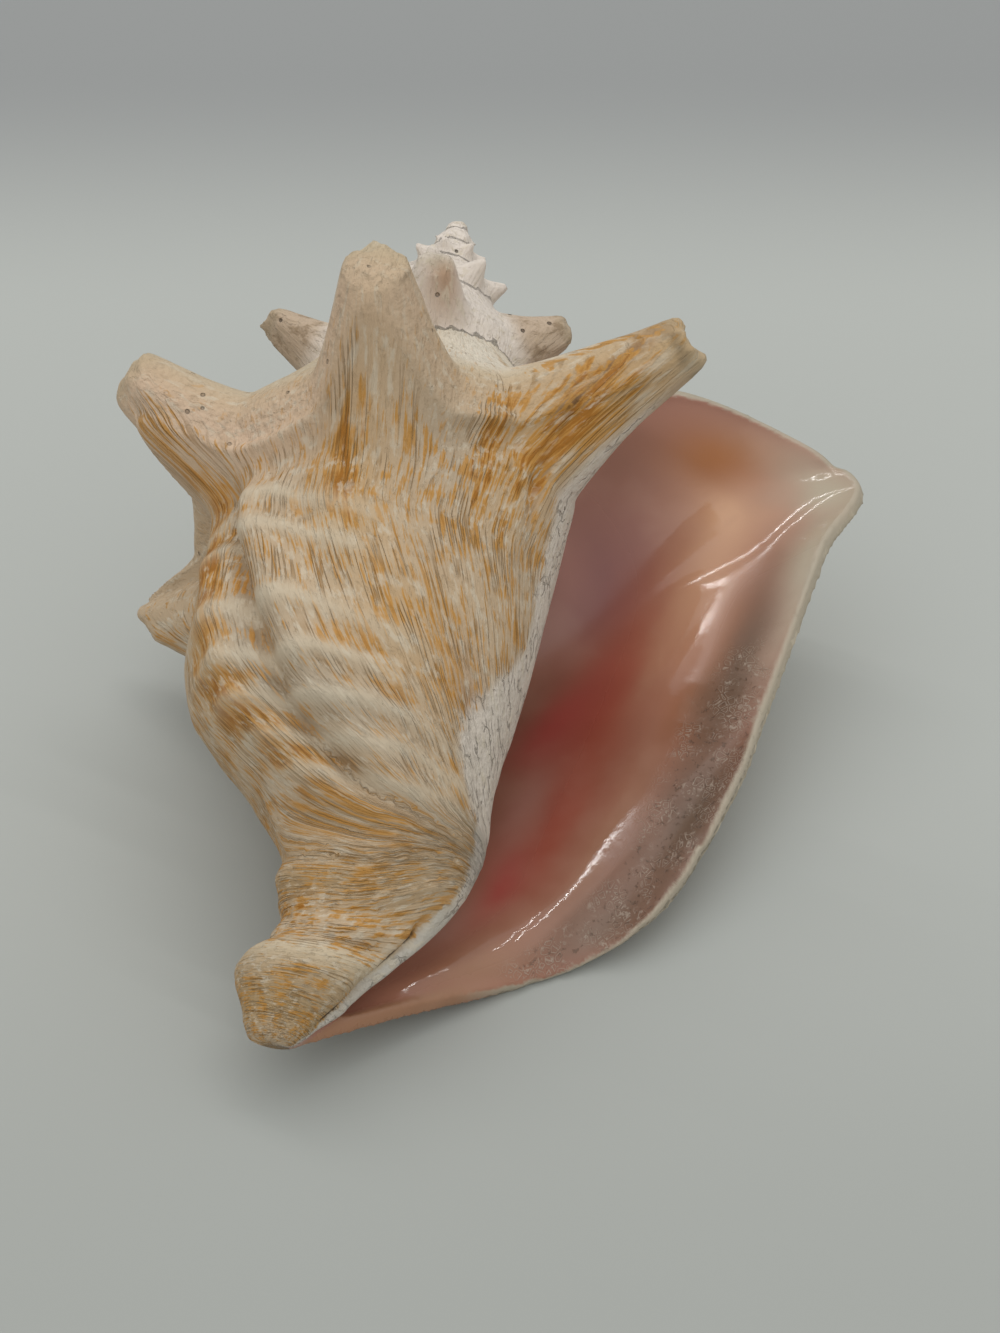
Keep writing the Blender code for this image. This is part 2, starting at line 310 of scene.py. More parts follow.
# How far the folds wander from their lines: share, shift in growth lines.
FOLD_WANDER = [(0.36, -0.018), (0.42, -0.009), (0.48, 0.005), (0.54, 0.013), (0.57, 0.008),
               (0.60, -0.002), (0.70, -0.005)]
# Cords around the body: share of the outline, half width, height in mm.
CORDS = [(0.400, 0.012, 0.6), (0.440, 0.012, 1.2), (0.508, 0.013, 1.9), (0.552, 0.012, 1.8),
         (0.596, 0.013, 2.0), (0.640, 0.013, 1.5), (0.680, 0.012, 0.9)]
# Growth lines on which the cords are high, with half widths, and their height elsewhere.
CORD_CRESTS = [(0.565, 0.030, 1.0), (0.665, 0.045, 1.0)]
CORD_REST = 0.25
# Folds and cords fade away from this growth, with this half width.
BODY = (0.66, 0.30)
# The keel runs around the shoulder: growth, share of the outline. A ridge and the dip below it.
KEEL = [(0.00, 0.232), (0.40, 0.270), (0.56, 0.332), (0.64, 0.325), (0.72, 0.300), (0.79, 0.292),
        (0.86, 0.262), (1.00, 0.240), (1.60, 0.232)]
KEEL_FORM = [(0.0, 0.010, 2.2), (0.032, 0.018, -1.6)]
# A groove runs from behind the largest spine onto the body: share, growth. A ridge stands beside it.
GROOVE = [(0.19, 0.874), (0.223, 0.869), (0.238, 0.861), (0.278, 0.861), (0.321, 0.879), (0.40, 0.892)]
GROOVE_FORM = [(0.013, 0.008, 1.3), (0.0, 0.005, -2.8)]
# The notch above the canal lobe: a crease, the swelling below it and the dip above it.
CREASE_SHARE = 0.842
CREASE = (CREASE_SHARE, 0.008, -2.6)
NOTCH = [(0.880, 0.024, 2.6), (0.820, 0.020, -2.2)]
CREASE_WANDER = 0.006
# The slit beside the canal: share, growth. Its half width in growth and its depth in mm.
SLIT = [(0.79, 0.915), (0.814, 0.930), (0.825, 0.946), (0.845, 0.950), (0.868, 0.945), (0.887, 0.947),
        (0.907, 0.945), (0.94, 0.955)]
SLIT_FORM = [(0.0, 0.014, -4.0)]
# Places where the outline is slimmer or fuller: growth, share, half widths of both, height in mm.
SHAPING = [(0.475, 0.290, 0.042, 0.060, -8.0), (0.560, 0.405, 0.050, 0.050, -2.6),
           (0.455, 0.615, 0.050, 0.045, -2.6), (0.530, 0.675, 0.050, 0.030, -1.6),
           (0.540, 0.785, 0.090, 0.024, 2.8)]
# Height of the ribs in mm on the body, on the base and on the canal lobe, and where the base is.
RIB_HEIGHTS = (0.15, 0.95, 0.30)
RIB_BASE = (0.765, 0.075)
# Crusted spines of the whorl before: growth, half width, share of the full crust.
CRUSTS = [(1.51, 0.055, 1.0), (1.968, 0.055, 1.0), (1.75, 0.1, 0.3)]
# Heights in mm of the crust, of the crackle above the shoulder and of the flakes behind the spine S1.
CRUST, CRACKLE, FLAKES = 2.2, 0.35, 0.9


def ribs(line, share):
    """Uneven rounded ribs along the growth lines, from -1 to 1, with sharp grooves between them."""
    coarse = noise(line * 66, share * 5, 3)
    fine = noise(line * 150, share * 9, 4)
    return 2.2 * np.sqrt(np.abs(coarse) + 0.01) + 0.35 * np.abs(fine) - 1.35


def rib_strength(growth, share):
    """Height of the ribs in mm: low on the body, high on the base."""
    on_body, on_base, on_lobe = RIB_HEIGHTS
    base = bell(share, *RIB_BASE) * span(growth, 0.30, 0.50, 0.90, 0.95)
    lobe = ease(share, 0.83, 0.87) * ease(growth, 0.35, 0.55)
    return (on_body + on_base * base + on_lobe * lobe) * (1 - ease(growth, 1.2, 2))


def bent_cords(line, share):
    """Share measured along the cords, which wander a little and rise toward the spines."""
    return share + 0.016 * noise(line * 22, share * 3, 8) - 0.25 * np.clip(line - 0.66, 0, 0.2)


def bent_crease(growth, share):
    """Share measured along the crease, which wanders a little."""
    return share + CREASE_WANDER * noise(growth * 20, 0, 5)


def slit(growth, share):
    """Depth of the slit beside the canal, in mm."""
    return stack(SLIT_FORM, growth - follow(SLIT, share)) * span(share, 0.79, 0.82, 0.92, 0.95)


def relief(growth, share):
    """Height over the smooth outline, in mm, without the slit."""
    line = growth_line(growth, share)
    folds = stack(FOLDS, line - follow(FOLD_WANDER, share)) * span(share, 0.30, 0.44, 0.66, 0.76)
    cords = stack(CORDS, bent_cords(line, share))
    cords = cords * (CORD_REST + (1 - CORD_REST) * np.clip(stack(CORD_CRESTS, line), 0, 1))
    notch = stack([CREASE], bent_crease(growth, share)) + stack(NOTCH, share)
    notch = notch * span(growth, 0.38, 0.52, 0.87, 0.94)
    keel = stack(KEEL_FORM, share - follow(KEEL, growth)) * (1 - flare(growth)) * (1 - ease(growth, 1, 2))
    groove = stack(GROOVE_FORM, growth - follow(GROOVE, share)) * span(share, 0.17, 0.21, 0.32, 0.39)
    shaping = sum(high * bell(growth, where, wide) * bell(share, along, long)
                  for where, along, wide, long, high in SHAPING)
    flakes = FLAKES * np.mod(share * 62 + 0.5 * noise(growth * 90, 0.5, 7), 1)
    flakes = flakes * bell(growth, 0.915, 0.030) * span(share, 0.12, 0.14, 0.20, 0.22)
    crackle = CRACKLE * rough(growth * 110, share * 80, 9) * bell(growth, 0.80, 0.32)
    crackle = crackle * (1 - ease(share, 0.19, 0.23))
    crust = CRUST * np.clip(rough(growth * 80, share * 56, 10) + 0.15, 0, 1) * stack(CRUSTS, growth)
    crust = crust * (1 - ease(share, 0.30, 0.36))
    return ((folds + cords) * bell(growth, *BODY) + ribs(line, share) * rib_strength(growth, share)
            + notch + keel + groove + shaping + flakes + crackle + crust)


print("relief on the left fold in mm:", round(float(relief(0.618, 0.607)), 2))

# %% [markdown]
# ## Spines
#
# Each spine is a place on the shoulder where the lip once folded outward. Here the smooth whorl is
# pushed out along the spine's axis, most in the middle, with a wide skirt around the foot. Their tips
# are worn off in the real shell, so the push stops at a flat, rough top instead of a point. The spine
# on the far left grows lower on the whorl than the others.

# %% Spines
# Growth, length, upward angle, half width at the base, half width at the tip, in mm and degrees, and
# how much narrower the foot is on the side that grew later.
SPINES = [
    (0.130, 12.3, 0, 16, 6, 1.0),
    (0.290, 13.0, 0, 14, 6, 1.0),
    (0.385, 38, 10, 15, 4.5, 1.0),
    (0.556, 25, 23, 13, 7.5, 1.0),
    (0.725, 31, 26, 15, 8.0, 0.78),
    (0.900, 40, 28, 14, 6.5, 1.0),
    (1.100, 13, 26, 9, 4, 1.0),
    (1.300, 14, 26, 9, 4, 1.0),
    (1.510, 15, 28, 8, 4.6, 1.0),
    (1.748, 13, 25, 8, 4.2, 1.0),
    (1.968, 14, 30, 8, 4, 1.0),
]
# Spines whose foot is lower on the whorl than the shoulder: growth, distance in mm.
LOW_FEET = {0.385: 12.0}
SPIRE_SPINE_SPACING = 0.125
# Length and half widths of the small regular spines, as shares of the shoulder's radius.
SPIRE_SPINE = (0.44, 0.25, 0.07)
SPIRE_SPINE_TILT = 25
# A spine's foot and its skirt reach this many half widths, and its sides curve by this power.
FOOT_REACH = 1.25
SKIRT_REACH = 1.5
SKIRT_SHARE = 0.18
SPINE_POWER = 1.4


def spine_list():
    """Every spine, the measured ones and the small regular ones of the early whorls."""
    spines = list(SPINES)
    growth = SPINES[-1][0] + SPIRE_SPINE_SPACING
    while growth < APEX_GROWTH - 0.6:
        radius = SHOULDER_RADIUS * math.exp(-RADIUS_RATE * growth)
        length, base, tip = [part * radius for part in SPIRE_SPINE]
        spines.append((growth, length, SPIRE_SPINE_TILT, base, tip, 1.0))
        growth += SPIRE_SPINE_SPACING
    return spines


def spine_frame(where, tilt):
    """Foot of a spine and its three directions: outward, around the whorl, and up along it."""
    radius, drop, lag = outline_controls(np.array([where]))
    foot = to_space(np.array([where]), radius[:, SHOULDER_POINT], drop[:, SHOULDER_POINT],
                    lag[:, SHOULDER_POINT])[0]
    foot[2] -= LOW_FEET.get(where, 0)
    angle = 2 * math.pi * (1 - where) - lag[0, SHOULDER_POINT]
    rise = math.radians(tilt)
    outward = np.array([math.cos(angle) * math.cos(rise), -math.sin(angle) * math.cos(rise),
                        math.sin(rise)])
    around = np.array([math.sin(angle), math.cos(angle), 0.0])
    return foot, outward, around, np.cross(around, outward)


def in_spine_frame(points, where, tilt, narrow):
    """Distance along a spine, distance from its axis, and the two parts of that distance."""
    foot, outward, around, upward = spine_frame(where, tilt)
    offset = points - foot
    along = offset @ outward
    sideways = offset @ around
    sideways = np.where(sideways < 0, sideways / narrow, sideways)
    lengthways = offset @ upward
    return along, np.hypot(sideways, lengthways), sideways, lengthways


def raise_spines(growth, surface):
    """Push the surface outward around the axis of each spine, and wear its tip flat and rough."""
    raised = surface.copy()
    for where, length, tilt, base, tip, narrow in spine_list():
        near = np.abs(growth - where) < 0.2
        along, away, sideways, lengthways = in_spine_frame(surface[near], where, tilt, narrow)
        height = np.clip((FOOT_REACH * base - away) / (FOOT_REACH * base - tip), 0, 1)
        form = (1 - SKIRT_SHARE) * height ** SPINE_POWER + SKIRT_SHARE * bell(away, 0, SKIRT_REACH * base)
        fade = bell(np.clip(-along - 0.4 * base, 0, None), 0, 0.5 * base)
        chipped = 0.05 * rough(sideways / 4 + 9 * where, lengthways / 4)
        chipped = chipped + 0.035 * rough(sideways / 1.4, lengthways / 1.4 + 7 * where, 2)
        push = length * (1 + chipped * (length > 10)) * form * fade
        raised[near] += push[..., None] * spine_frame(where, tilt)[1]
    return raised


print("spines:", len(spine_list()))

# %% [markdown]
# ## The surfaces of the shell
#
# The outside is the outline with its relief and spines. The inside is the plain outside moved inward
# by the thickness of the wall, which thins toward the lip. The animal smooths its mouth with glaze, so
# the inside is blurred along the outline, and a low roof in it marks where an earlier lip ended. That
# roof is what catches the two thin highlights in the photograph.

# %% Outside and inside
WALL = 5.0
LIP_WALL = 3.4
# The wall of the body, away from the mouth, is thicker by this much.
THICKENING = 4.0
FILLET = 0.085
SMOOTHING = 0.04
# A low roof in the glaze, where an earlier lip ended: growth, height in mm, roundness of its top.
OLD_LIP = (0.044, 2.7, 0.12)
# Chips of the lip edge in degrees: share, half width, depth.
LIP_CHIPS = [(0.604, 0.011, 1.5), (0.640, 0.020, 0.9), (0.205, 0.010, 0.8)]
# The first whorls are blunt: how far they rise and swell, in mm.
TIP_RISE = 3.0
TIP_SWELL = 0.9


def lip_chips(share):
    """How far the worn lip edge stays behind its smooth line, in radians."""
    return np.radians(0.35 * rough(share * 42, 0.5, 11) + stack(LIP_CHIPS, share))


def outer_surface(growth, samples, detailed=True, with_slit=True):
    """Outer surface, one row of samples per growth, from the seam to the canal tip."""
    radius, drop, lag = outline_controls(growth)
    weights = spline_weights(samples, len(LIP))
    share = np.linspace(0, 1, samples)[None, :]
    rows = np.broadcast_to(growth[:, None], (len(growth), samples))
    radius = radius @ weights.T
    if detailed:
        radius = radius + relief(rows, share) + with_slit * slit(rows, share)
    lag = lag @ weights.T + flare(rows) ** 4 * lip_chips(share)
    tip = ease(rows, 2.5, 6.0)
    radius = radius + TIP_SWELL * tip
    surface = to_space(rows, radius, drop @ weights.T - TIP_RISE * tip, lag, flare(rows))
    return raise_spines(growth, surface) if detailed else surface


def blurred(surface, width):
    """The surface with every row smoothed along the outline, over a share of it."""
    samples = surface.shape[1]
    reach = round(2.5 * width * samples)
    kernel = np.exp(-(np.arange(-reach, reach + 1) / (width * samples)) ** 2)
    padded = np.pad(surface, ((0, 0), (reach, reach), (0, 0)), mode="edge")
    rounded = sum(weight * padded[:, shift:shift + samples] for shift, weight in enumerate(kernel))
    return rounded / kernel.sum()


def smooth_glaze(surface, growth):
    """Round the inside of the shoulder, where the glaze fills the corner, and calm the rest."""
    share = np.linspace(0, 1, surface.shape[1])[None, :, None]
    behind_lip = ease(growth, 0.0, 0.03)[:, None, None]
    corner = span(share, 0.05, 0.13, 0.36, 0.50) * behind_lip
    surface = surface + (blurred(surface, FILLET) - surface) * corner
    calm = span(share, 0.05, 0.13, 0.84, 0.92) * behind_lip
    return surface + (blurred(surface, SMOOTHING) - surface) * calm


def inner_surface(growth, samples):
    """The outer surface without its spines, moved inward by the thickness of the wall."""
    plain = outer_surface(growth, samples, detailed=False)
    along = np.gradient(plain, growth, axis=0)
    across = np.gradient(plain, axis=1)
    inward = np.cross(along, across)
    inward /= np.linalg.norm(inward, axis=-1, keepdims=True)
    share = np.linspace(0, 1, samples)[None, :]
    rows = growth[:, None]
    wall = WALL + (LIP_WALL - WALL) * flare(rows) + THICKENING * ease(rows, 0.20, 0.45)
    lumps = 0.14 * rough(rows * 150, share * 90, 12) * bell(rows, 0.016, 0.014) * ease(share, 0.36, 0.46)
    where, high, round_top = OLD_LIP
    roof = 1 + round_top - np.sqrt((rows / where - 1) ** 2 + round_top ** 2)
    roof = round_top * np.log1p(np.exp(np.clip(roof / round_top, -30, 30)))
    ridge = high * roof * span(share, 0.10, 0.25, 0.80, 0.90)
    smooth = smooth_glaze(plain + inward * wall[..., None], growth)
    return smooth + inward * (lumps + ridge)[..., None]


print("wall at the lip and in the body in mm:", LIP_WALL, WALL)

# %% [markdown]
# ## Rolling a grid into a whorl
#
# Each solid starts as a flat grid of squares. Its columns are wrapped around the cross-section of the
# whorl and its rows follow the spiral, so one grid rolls up into a long coiled tube. Its two ends are
# capped. The tube runs into itself where one whorl lies on the one before, and a voxel remesh then
# makes one skin of it, which is how overlapping clay coils are joined too.

# %% Solids
PILLAR_RADIUS = 7.0
HOLLOW_DEPTH = 1.0
HOLLOW_TOP = 0.045
CANAL_END = 0.955
CANAL_RISE = 0.30
CANAL_RISE_GROWTH = 0.45
MOUTH_REACH = 12.0
MOUTH_START = 13.0
EARLY_GROWTH = 0.90
OUTLINE_STEPS = 210
STEPS_PER_WHORL = 330
SPIRE_STEPS_PER_WHORL = 150


def growth_steps(first, last):
    """Growth values between two stages, closer together on the last whorl."""
    split = min(1.3, last)
    late = np.linspace(first, split, round((split - first) * STEPS_PER_WHORL))
    early = np.linspace(split, last, round((last - split) * SPIRE_STEPS_PER_WHORL) + 1)
    return np.concatenate((late, early[1:]))


def axis_side(growth, outer, radius, count=16):
    """Straight side that runs up near the axis from the last sample of each row to the first."""
    share = np.linspace(0, 1, count)[None, :]
    drop = -(outer[:, -1, 2:3] * (1 - share) + outer[:, 0, 2:3] * share)
    rows = np.broadcast_to(growth[:, None], drop.shape)
    radii = np.broadcast_to(np.reshape(radius, (-1, 1)), drop.shape)
    return to_space(rows, radii, drop, 0)


def whorl_rings(growth):
    """Closed rings of a solid whorl: the outer surface and a side just past the axis."""
    outer = outer_surface(growth, OUTLINE_STEPS)
    if growth[0] == 0:
        outer = np.concatenate((inner_surface(growth, OUTLINE_STEPS)[:1], outer))
        growth = np.concatenate((growth[:1], growth))
    past_axis = -AXIS_OVERLAP * SHOULDER_RADIUS * np.exp(-RADIUS_RATE * growth)
    return np.concatenate((outer, axis_side(growth, outer, past_axis)), axis=1)


def open_mouth(rings):
    """Carry the first ring forward, so that the hollow breaks out through the aperture."""
    distance = np.linalg.norm(rings[:1, :, :2], axis=-1, keepdims=True)
    reach = MOUTH_REACH * np.clip((distance - MOUTH_START) / MOUTH_START, 0, 1)
    steps = np.linspace(1, 0, 6)[:-1, None, None]
    forward = rings[:1] + steps * reach * np.array([0.0, -1.0, 0.0])
    return np.concatenate((forward, rings))


def hollow_rings(growth):
    """Closed rings of the hollow: the outer surface moved inward by the wall, and the pillar."""
    inner = inner_surface(growth, OUTLINE_STEPS)
    samples = np.linspace(0, 1, OUTLINE_STEPS)
    hollow = np.empty_like(inner)
    for row, now in enumerate(growth):
        lowest = CANAL_END - CANAL_RISE * min(max(now, 0) / CANAL_RISE_GROWTH, 1)
        kept = np.linspace(HOLLOW_TOP, lowest, OUTLINE_STEPS)
        for axis in range(3):
            hollow[row, :, axis] = np.interp(kept, samples, inner[row, :, axis])
    pillar = PILLAR_RADIUS * np.exp(-RADIUS_RATE * growth)
    return np.concatenate((hollow, axis_side(growth, hollow, pillar)), axis=1)


def grow(name, rings):
    """Object whose closed cross-sections are the given rings: a grid rolled up and capped."""
    rows, columns = rings.shape[:2]
    bm = bmesh.new()
    bmesh.ops.create_grid(bm, x_segments=columns, y_segments=rows - 1, size=0.5)
    mesh = bpy.data.meshes.new(name)
    bm.to_mesh(mesh)
    flat = np.empty(len(mesh.vertices) * 3)
    mesh.vertices.foreach_get("co", flat)
    flat = flat.reshape(-1, 3)
    column = np.rint((flat[:, 0] + 0.5) * columns).astype(int) % columns
    row = np.rint((flat[:, 1] + 0.5) * (rows - 1)).astype(int)
    mesh.vertices.foreach_set("co", (rings[row, column] * MM).ravel())
    bm.clear()
    bm.from_mesh(mesh)
    bmesh.ops.remove_doubles(bm, verts=bm.verts, dist=1e-7)
    bmesh.ops.holes_fill(bm, edges=[edge for edge in bm.edges if edge.is_boundary])
    bmesh.ops.recalc_face_normals(bm, faces=bm.faces)
    bm.to_mesh(mesh)
    bm.free()
    grown = bpy.data.objects.new(name, mesh)
    bpy.context.scene.collection.objects.link(grown)
    return grown


whole_growth = growth_steps(0, APEX_GROWTH)
shell = grow("shell_skin", whorl_rings(whole_growth))
early_whorls = grow("early_whorls", whorl_rings(growth_steps(EARLY_GROWTH, APEX_GROWTH)))
hollow = grow("hollow", open_mouth(hollow_rings(growth_steps(0, HOLLOW_DEPTH))))
print("rolled grid:", len(shell.data.vertices), "points")

# %% [markdown]
# ## Hollowing the last whorl
#
# The hollow is grown as a solid of its own and taken away from the shell. The early whorls are first
# taken away from the hollow, so that the pillar and the wall behind the mouth stay. A second remesh
# evens the skin, and a decimation keeps more triangles where the relief is, and fewer on calm parts.

# %% One skin
SKIN_VOXEL = 0.8
HOLLOW_VOXEL = 1.2
TRIANGLES = 190000


def remesh(thing, size):
    modifier = thing.modifiers.new("Even skin", "REMESH")
    modifier.mode = "VOXEL"
    modifier.voxel_size = size * MM


def take_away(thing, other):
    modifier = thing.modifiers.new("Take away " + other.name, "BOOLEAN")
    modifier.operation = "DIFFERENCE"
    modifier.solver = "MANIFOLD"
    modifier.object = other


def bake_modifiers(thing):
    """Make the shape that the modifiers give the object's own mesh."""
    shown = thing.evaluated_get(bpy.context.evaluated_depsgraph_get())
    mesh = bpy.data.meshes.new_from_object(shown)
    thing.modifiers.clear()
    thing.data = mesh


remesh(early_whorls, HOLLOW_VOXEL)
remesh(hollow, HOLLOW_VOXEL)
take_away(hollow, early_whorls)
remesh(shell, SKIN_VOXEL)
take_away(shell, hollow)
remesh(shell, SKIN_VOXEL)
bake_modifiers(shell)
skin_faces = len(shell.data.polygons)
thin = shell.modifiers.new("Fewer triangles", "DECIMATE")
thin.ratio = min(1.0, TRIANGLES / (2 * skin_faces))
bake_modifiers(shell)
shell.name = "grown_shell"
for guide in (early_whorls, hollow):
    bpy.data.objects.remove(guide, do_unlink=True)
print("skin:", skin_faces, "squares, kept:", len(shell.data.polygons), "faces")

# %% [markdown]
# ## What each place is
#
# The finished skin has forgotten where its points came from. Each point looks up the nearest sample of
# the outside or the inside and takes its growth and its share of the outline from it. From those two
# numbers come all the painted masks below. The look-up uses a tree of points, then a small step along
# the two directions of the surface, so that the numbers change smoothly. At the thin lip the outside
# and the inside are close together, so the surface that faces the same way as the point wins.

# %% Growth and outline share of every point
OUTSIDE, INSIDE = 0, 1
LOOKUP_OUTLINE_STEPS = 170
FACING_WEIGHT = 3.0


def lookup_growth(last):
    """Growth values of the samples, closest together at the lip, where the wall is thin."""
    stages = np.concatenate((np.linspace(0, 0.3, 130), np.linspace(0.3, 1.3, 200)[1:],
                             np.linspace(1.3, APEX_GROWTH, 640)[1:]))
    return stages[stages <= last]


def nearest_on(stages, surface, facing, points, normals):
    """Growth, share and misfit of each point on one surface, in mm."""
    tree = KDTree(surface.shape[0] * surface.shape[1])
    for count, place in enumerate(surface.reshape(-1, 3)):
        tree.insert(place, count)
    tree.balance()
    found = [tree.find(point) for point in points]
    row, column = np.divmod(np.array([hit[1] for hit in found]), surface.shape[1])
    along = np.gradient(surface, stages, axis=0)[row, column]
    across = np.gradient(surface, 1 / (surface.shape[1] - 1), axis=1)[row, column]
    offset = points - surface[row, column]
    a, b, c, d, e = [np.einsum("ij,ij->i", *pair) for pair in
                     ((along, along), (along, across), (across, across),
                      (offset, along), (offset, across))]
    scale = np.maximum(a * c - b * b, 1e-9)
    step = np.gradient(stages)[row]
    growth = stages[row] + np.clip((c * d - b * e) / scale, -step, step)
    step = 1 / surface.shape[1]
    share = column / (surface.shape[1] - 1) + np.clip((a * e - b * d) / scale, -step, step)
    normal = np.cross(along, across)
    normal /= np.maximum(np.linalg.norm(normal, axis=1, keepdims=True), 1e-9)
    turned_away = 1 - facing * np.einsum("ij,ij->i", normal, normals)
    return growth, np.clip(share, 0, 1), np.array([hit[2] for hit in found]) + FACING_WEIGHT * turned_away


def find_places(points, normals):
    """Side, growth and share for points in mm, in the shell's own upright space."""
    whole = lookup_growth(APEX_GROWTH)
    mouth = lookup_growth(HOLLOW_DEPTH)
    outer = outer_surface(whole, LOOKUP_OUTLINE_STEPS, with_slit=False)
    outside = nearest_on(whole, outer, -1, points, normals)
    inside = nearest_on(mouth, inner_surface(mouth, LOOKUP_OUTLINE_STEPS), 1, points, normals)
    side = np.where(inside[2] < outside[2], INSIDE, OUTSIDE)
    growth = np.where(side == INSIDE, inside[0], outside[0])
    return side, growth, np.where(side == INSIDE, inside[1], outside[1])


def read_points(mesh, name="co"):
    values = np.empty(len(mesh.vertices) * 3)
    mesh.vertices.foreach_get(name, values)
    return values.reshape(-1, 3)


shell_points = read_points(shell.data) / MM
side, growth, share = find_places(shell_points, read_points(shell.data, "normal"))
print("points outside:", int((side == OUTSIDE).sum()), "and inside:", int((side == INSIDE).sum()))

# %% [markdown]
# ## Resting pose
#
# The shell was grown upright with its apex at the origin. It is turned and lifted into the pose of the
# CAD shell, on its back with the mouth up, and its place goes into its mesh, so the object itself stays
# at the origin. A light cut then levels the spots that carry it with the ground: the tips of two spines
# of its back, the shoulder between them and the edge of the lip.

# %% Resting pose
REST_TURN = (-67.0, 8.37, -7.35)

turn = Euler([math.radians(angle) for angle in REST_TURN]).to_matrix()
placed = shell_points @ np.array(turn).T * MM + np.array(REST_PLACE)
placed[:, 2] = np.maximum(placed[:, 2], 0)
shell.data.vertices.foreach_set("co", placed.ravel())
shell.data.update()
print("lowest and highest corner in mm:", (placed.min(0) / MM).round(1), (placed.max(0) / MM).round(1))

# %% [markdown]
# ## Colours
#
# Colours are written as they look on a screen, as sRGB hex values. Cycles adds up light, so it needs
# linear values, and one function turns the first into the second.

# %% Colours
def linear(hex_colour):
    """Linear red, green and blue of an sRGB hex colour."""
    screen = np.array([int(hex_colour[i:i + 2], 16) for i in (1, 3, 5)]) / 255
    return np.where(screen <= 0.04045, screen / 12.92, ((screen + 0.055) / 1.055) ** 2.4)


def tone(name):
    """Linear colour with full opacity, as a node input wants it."""
    return (*linear(TONES[name]), 1.0)


TONES = {
    "cream": "#C2A98A",
    "ivory": "#CFBEA2",
    "pink beige": "#D6B99E",
    "warm sand": "#BC9868",
    "dark sand": "#A88A5E",
    "hollow shade brown": "#8C6E45",
    "ash": "#A99C89",
    "rosy brown": "#AD8A6C",
    "spire lilac": "#E2D6CA",
    "callus grey": "#DACFC2",
    "dead white": "#C9C2B6",
    "salmon": "#9E6B57",
    "rose": "#A8503F",
    "deep rose": "#B04E46",
    "pale rose": "#AC7668",
    "mauve": "#82524E",
    "ochre": "#9E5E26",
    "rosewood": "#84523C",
    "peach": "#DBAC88",
    "pale beige": "#9C7154",
    "brown margin": "#5E4026",
    "grey margin": "#6E5848",
    "cream rim": "#B4A892",
    "rim grey": "#AEA28E",
    "ramp white": "#E3D8C6",
    "groove ochre and shade": "#7A4E20",
    "streak": "#BF8A40",
    "deep streak": "#A26A22",
    "hairline": "#8A6430",
    "chalk": "#D2C5AF",
    "shade": "#A68C62",
    "old grey": "#AFA696",
    "cord": "#CFC1A9",
    "crack": "#877A6A",
    "speck": "#8D7E6B",
    "crust": "#B79D80",
    "crumb": "#7E6548",
    "pit": "#5B4A3A",
    "worn tip": "#AFA07F",
    "dark line": "#3B2A18",
    "glaze cloud": "#D8B09A",
    "glaze fleck": "#BBAB9B",
    "glaze hole": "#4E3C2E",
    "near board shade": "#A8AAA5",
    "board": "#B4B6B1",
    "far board shade": "#939493",
    "ceiling": "#EEF0F0",
}
print("cream in linear values:", linear(TONES["cream"]).round(3))

# %% [markdown]
# ## Painting the tints
#
# The broad colours change slowly over the shell, so they are painted on its points: a ground colour
# first, then soft patches, each with a tone, a place and a size. Places are given in growth and share,
# so a patch lies on the surface and looks the same from all sides.

# %% Tints of the outside
# Tone, growth line, share, half widths of both, strength.
OUTSIDE_PATCHES = [
    ("pink beige", 0.60, 0.30, 0.10, 0.06, 0.9),
    ("pink beige", 0.72, 0.26, 0.06, 0.04, 0.7),
    ("ash", 0.80, 0.33, 0.030, 0.05, 0.5),
    ("ash", 0.59, 0.40, 0.020, 0.05, 0.5),
    ("warm sand", 0.55, 0.47, 0.028, 0.10, 0.9),
    ("warm sand", 0.56, 0.60, 0.026, 0.08, 0.8),
    ("warm sand", 0.72, 0.40, 0.030, 0.08, 0.7),
    ("warm sand", 0.87, 0.28, 0.035, 0.10, 0.8),
    ("warm sand", 0.75, 0.52, 0.050, 0.06, 0.5),
    ("ash", 0.64, 0.56, 0.018, 0.10, 0.35),
    # The narrow ash patch on line 0.605 lies in the groove between the folds: painted shade.
    ("ash", 0.605, 0.56, 0.012, 0.10, 0.8),
    ("rosy brown", 0.80, 0.57, 0.030, 0.05, 0.8),
    ("ivory", 0.70, 0.45, 0.020, 0.04, 0.4),
    ("warm sand", 0.45, 0.77, 0.25, 0.045, 0.2),
    ("dark sand", 0.42, 0.80, 0.03, 0.03, 0.6),
    ("ash", 0.645, 0.60, 0.030, 0.035, 0.6),
    ("ivory", 0.37, 0.865, 0.30, 0.020, 1.0),
    ("dark sand", 0.28, 0.93, 0.30, 0.045, 0.8),
]
CALLUS_EDGE = [(0.00, 0.94), (0.30, 0.905), (0.40, 0.925), (0.48, 0.938), (0.55, 0.885),
               (0.60, 0.87), (0.66, 0.90), (0.72, 0.93), (0.78, 0.95), (0.82, 0.97), (1.00, 0.97)]
# A thin ochre line runs up the ramp beside the seam: share, growth.
SEAM = [(0.06, 0.860), (0.12, 0.853), (0.18, 0.843)]
# The hollow brown face of the front spine of the whorl before.
FRONT_SPINE = (1.765, 0.275, 0.030, 0.055, 0.9)


def patch(place, where, along, wide, long, strength):
    """Weight of a soft patch on every point."""
    return strength * bell(place, where, wide) * bell(share, along, long)


def painted(ground, layers):
    """Tint of every point: a ground tone with layers of a tone and a weight over it."""
    tint = np.tile(linear(TONES[ground]), (len(growth), 1))
    for name, weight in layers:
        weight = np.clip(weight, 0, 1)[:, None]
        tint = tint * (1 - weight) + linear(TONES[name]) * weight
    return tint


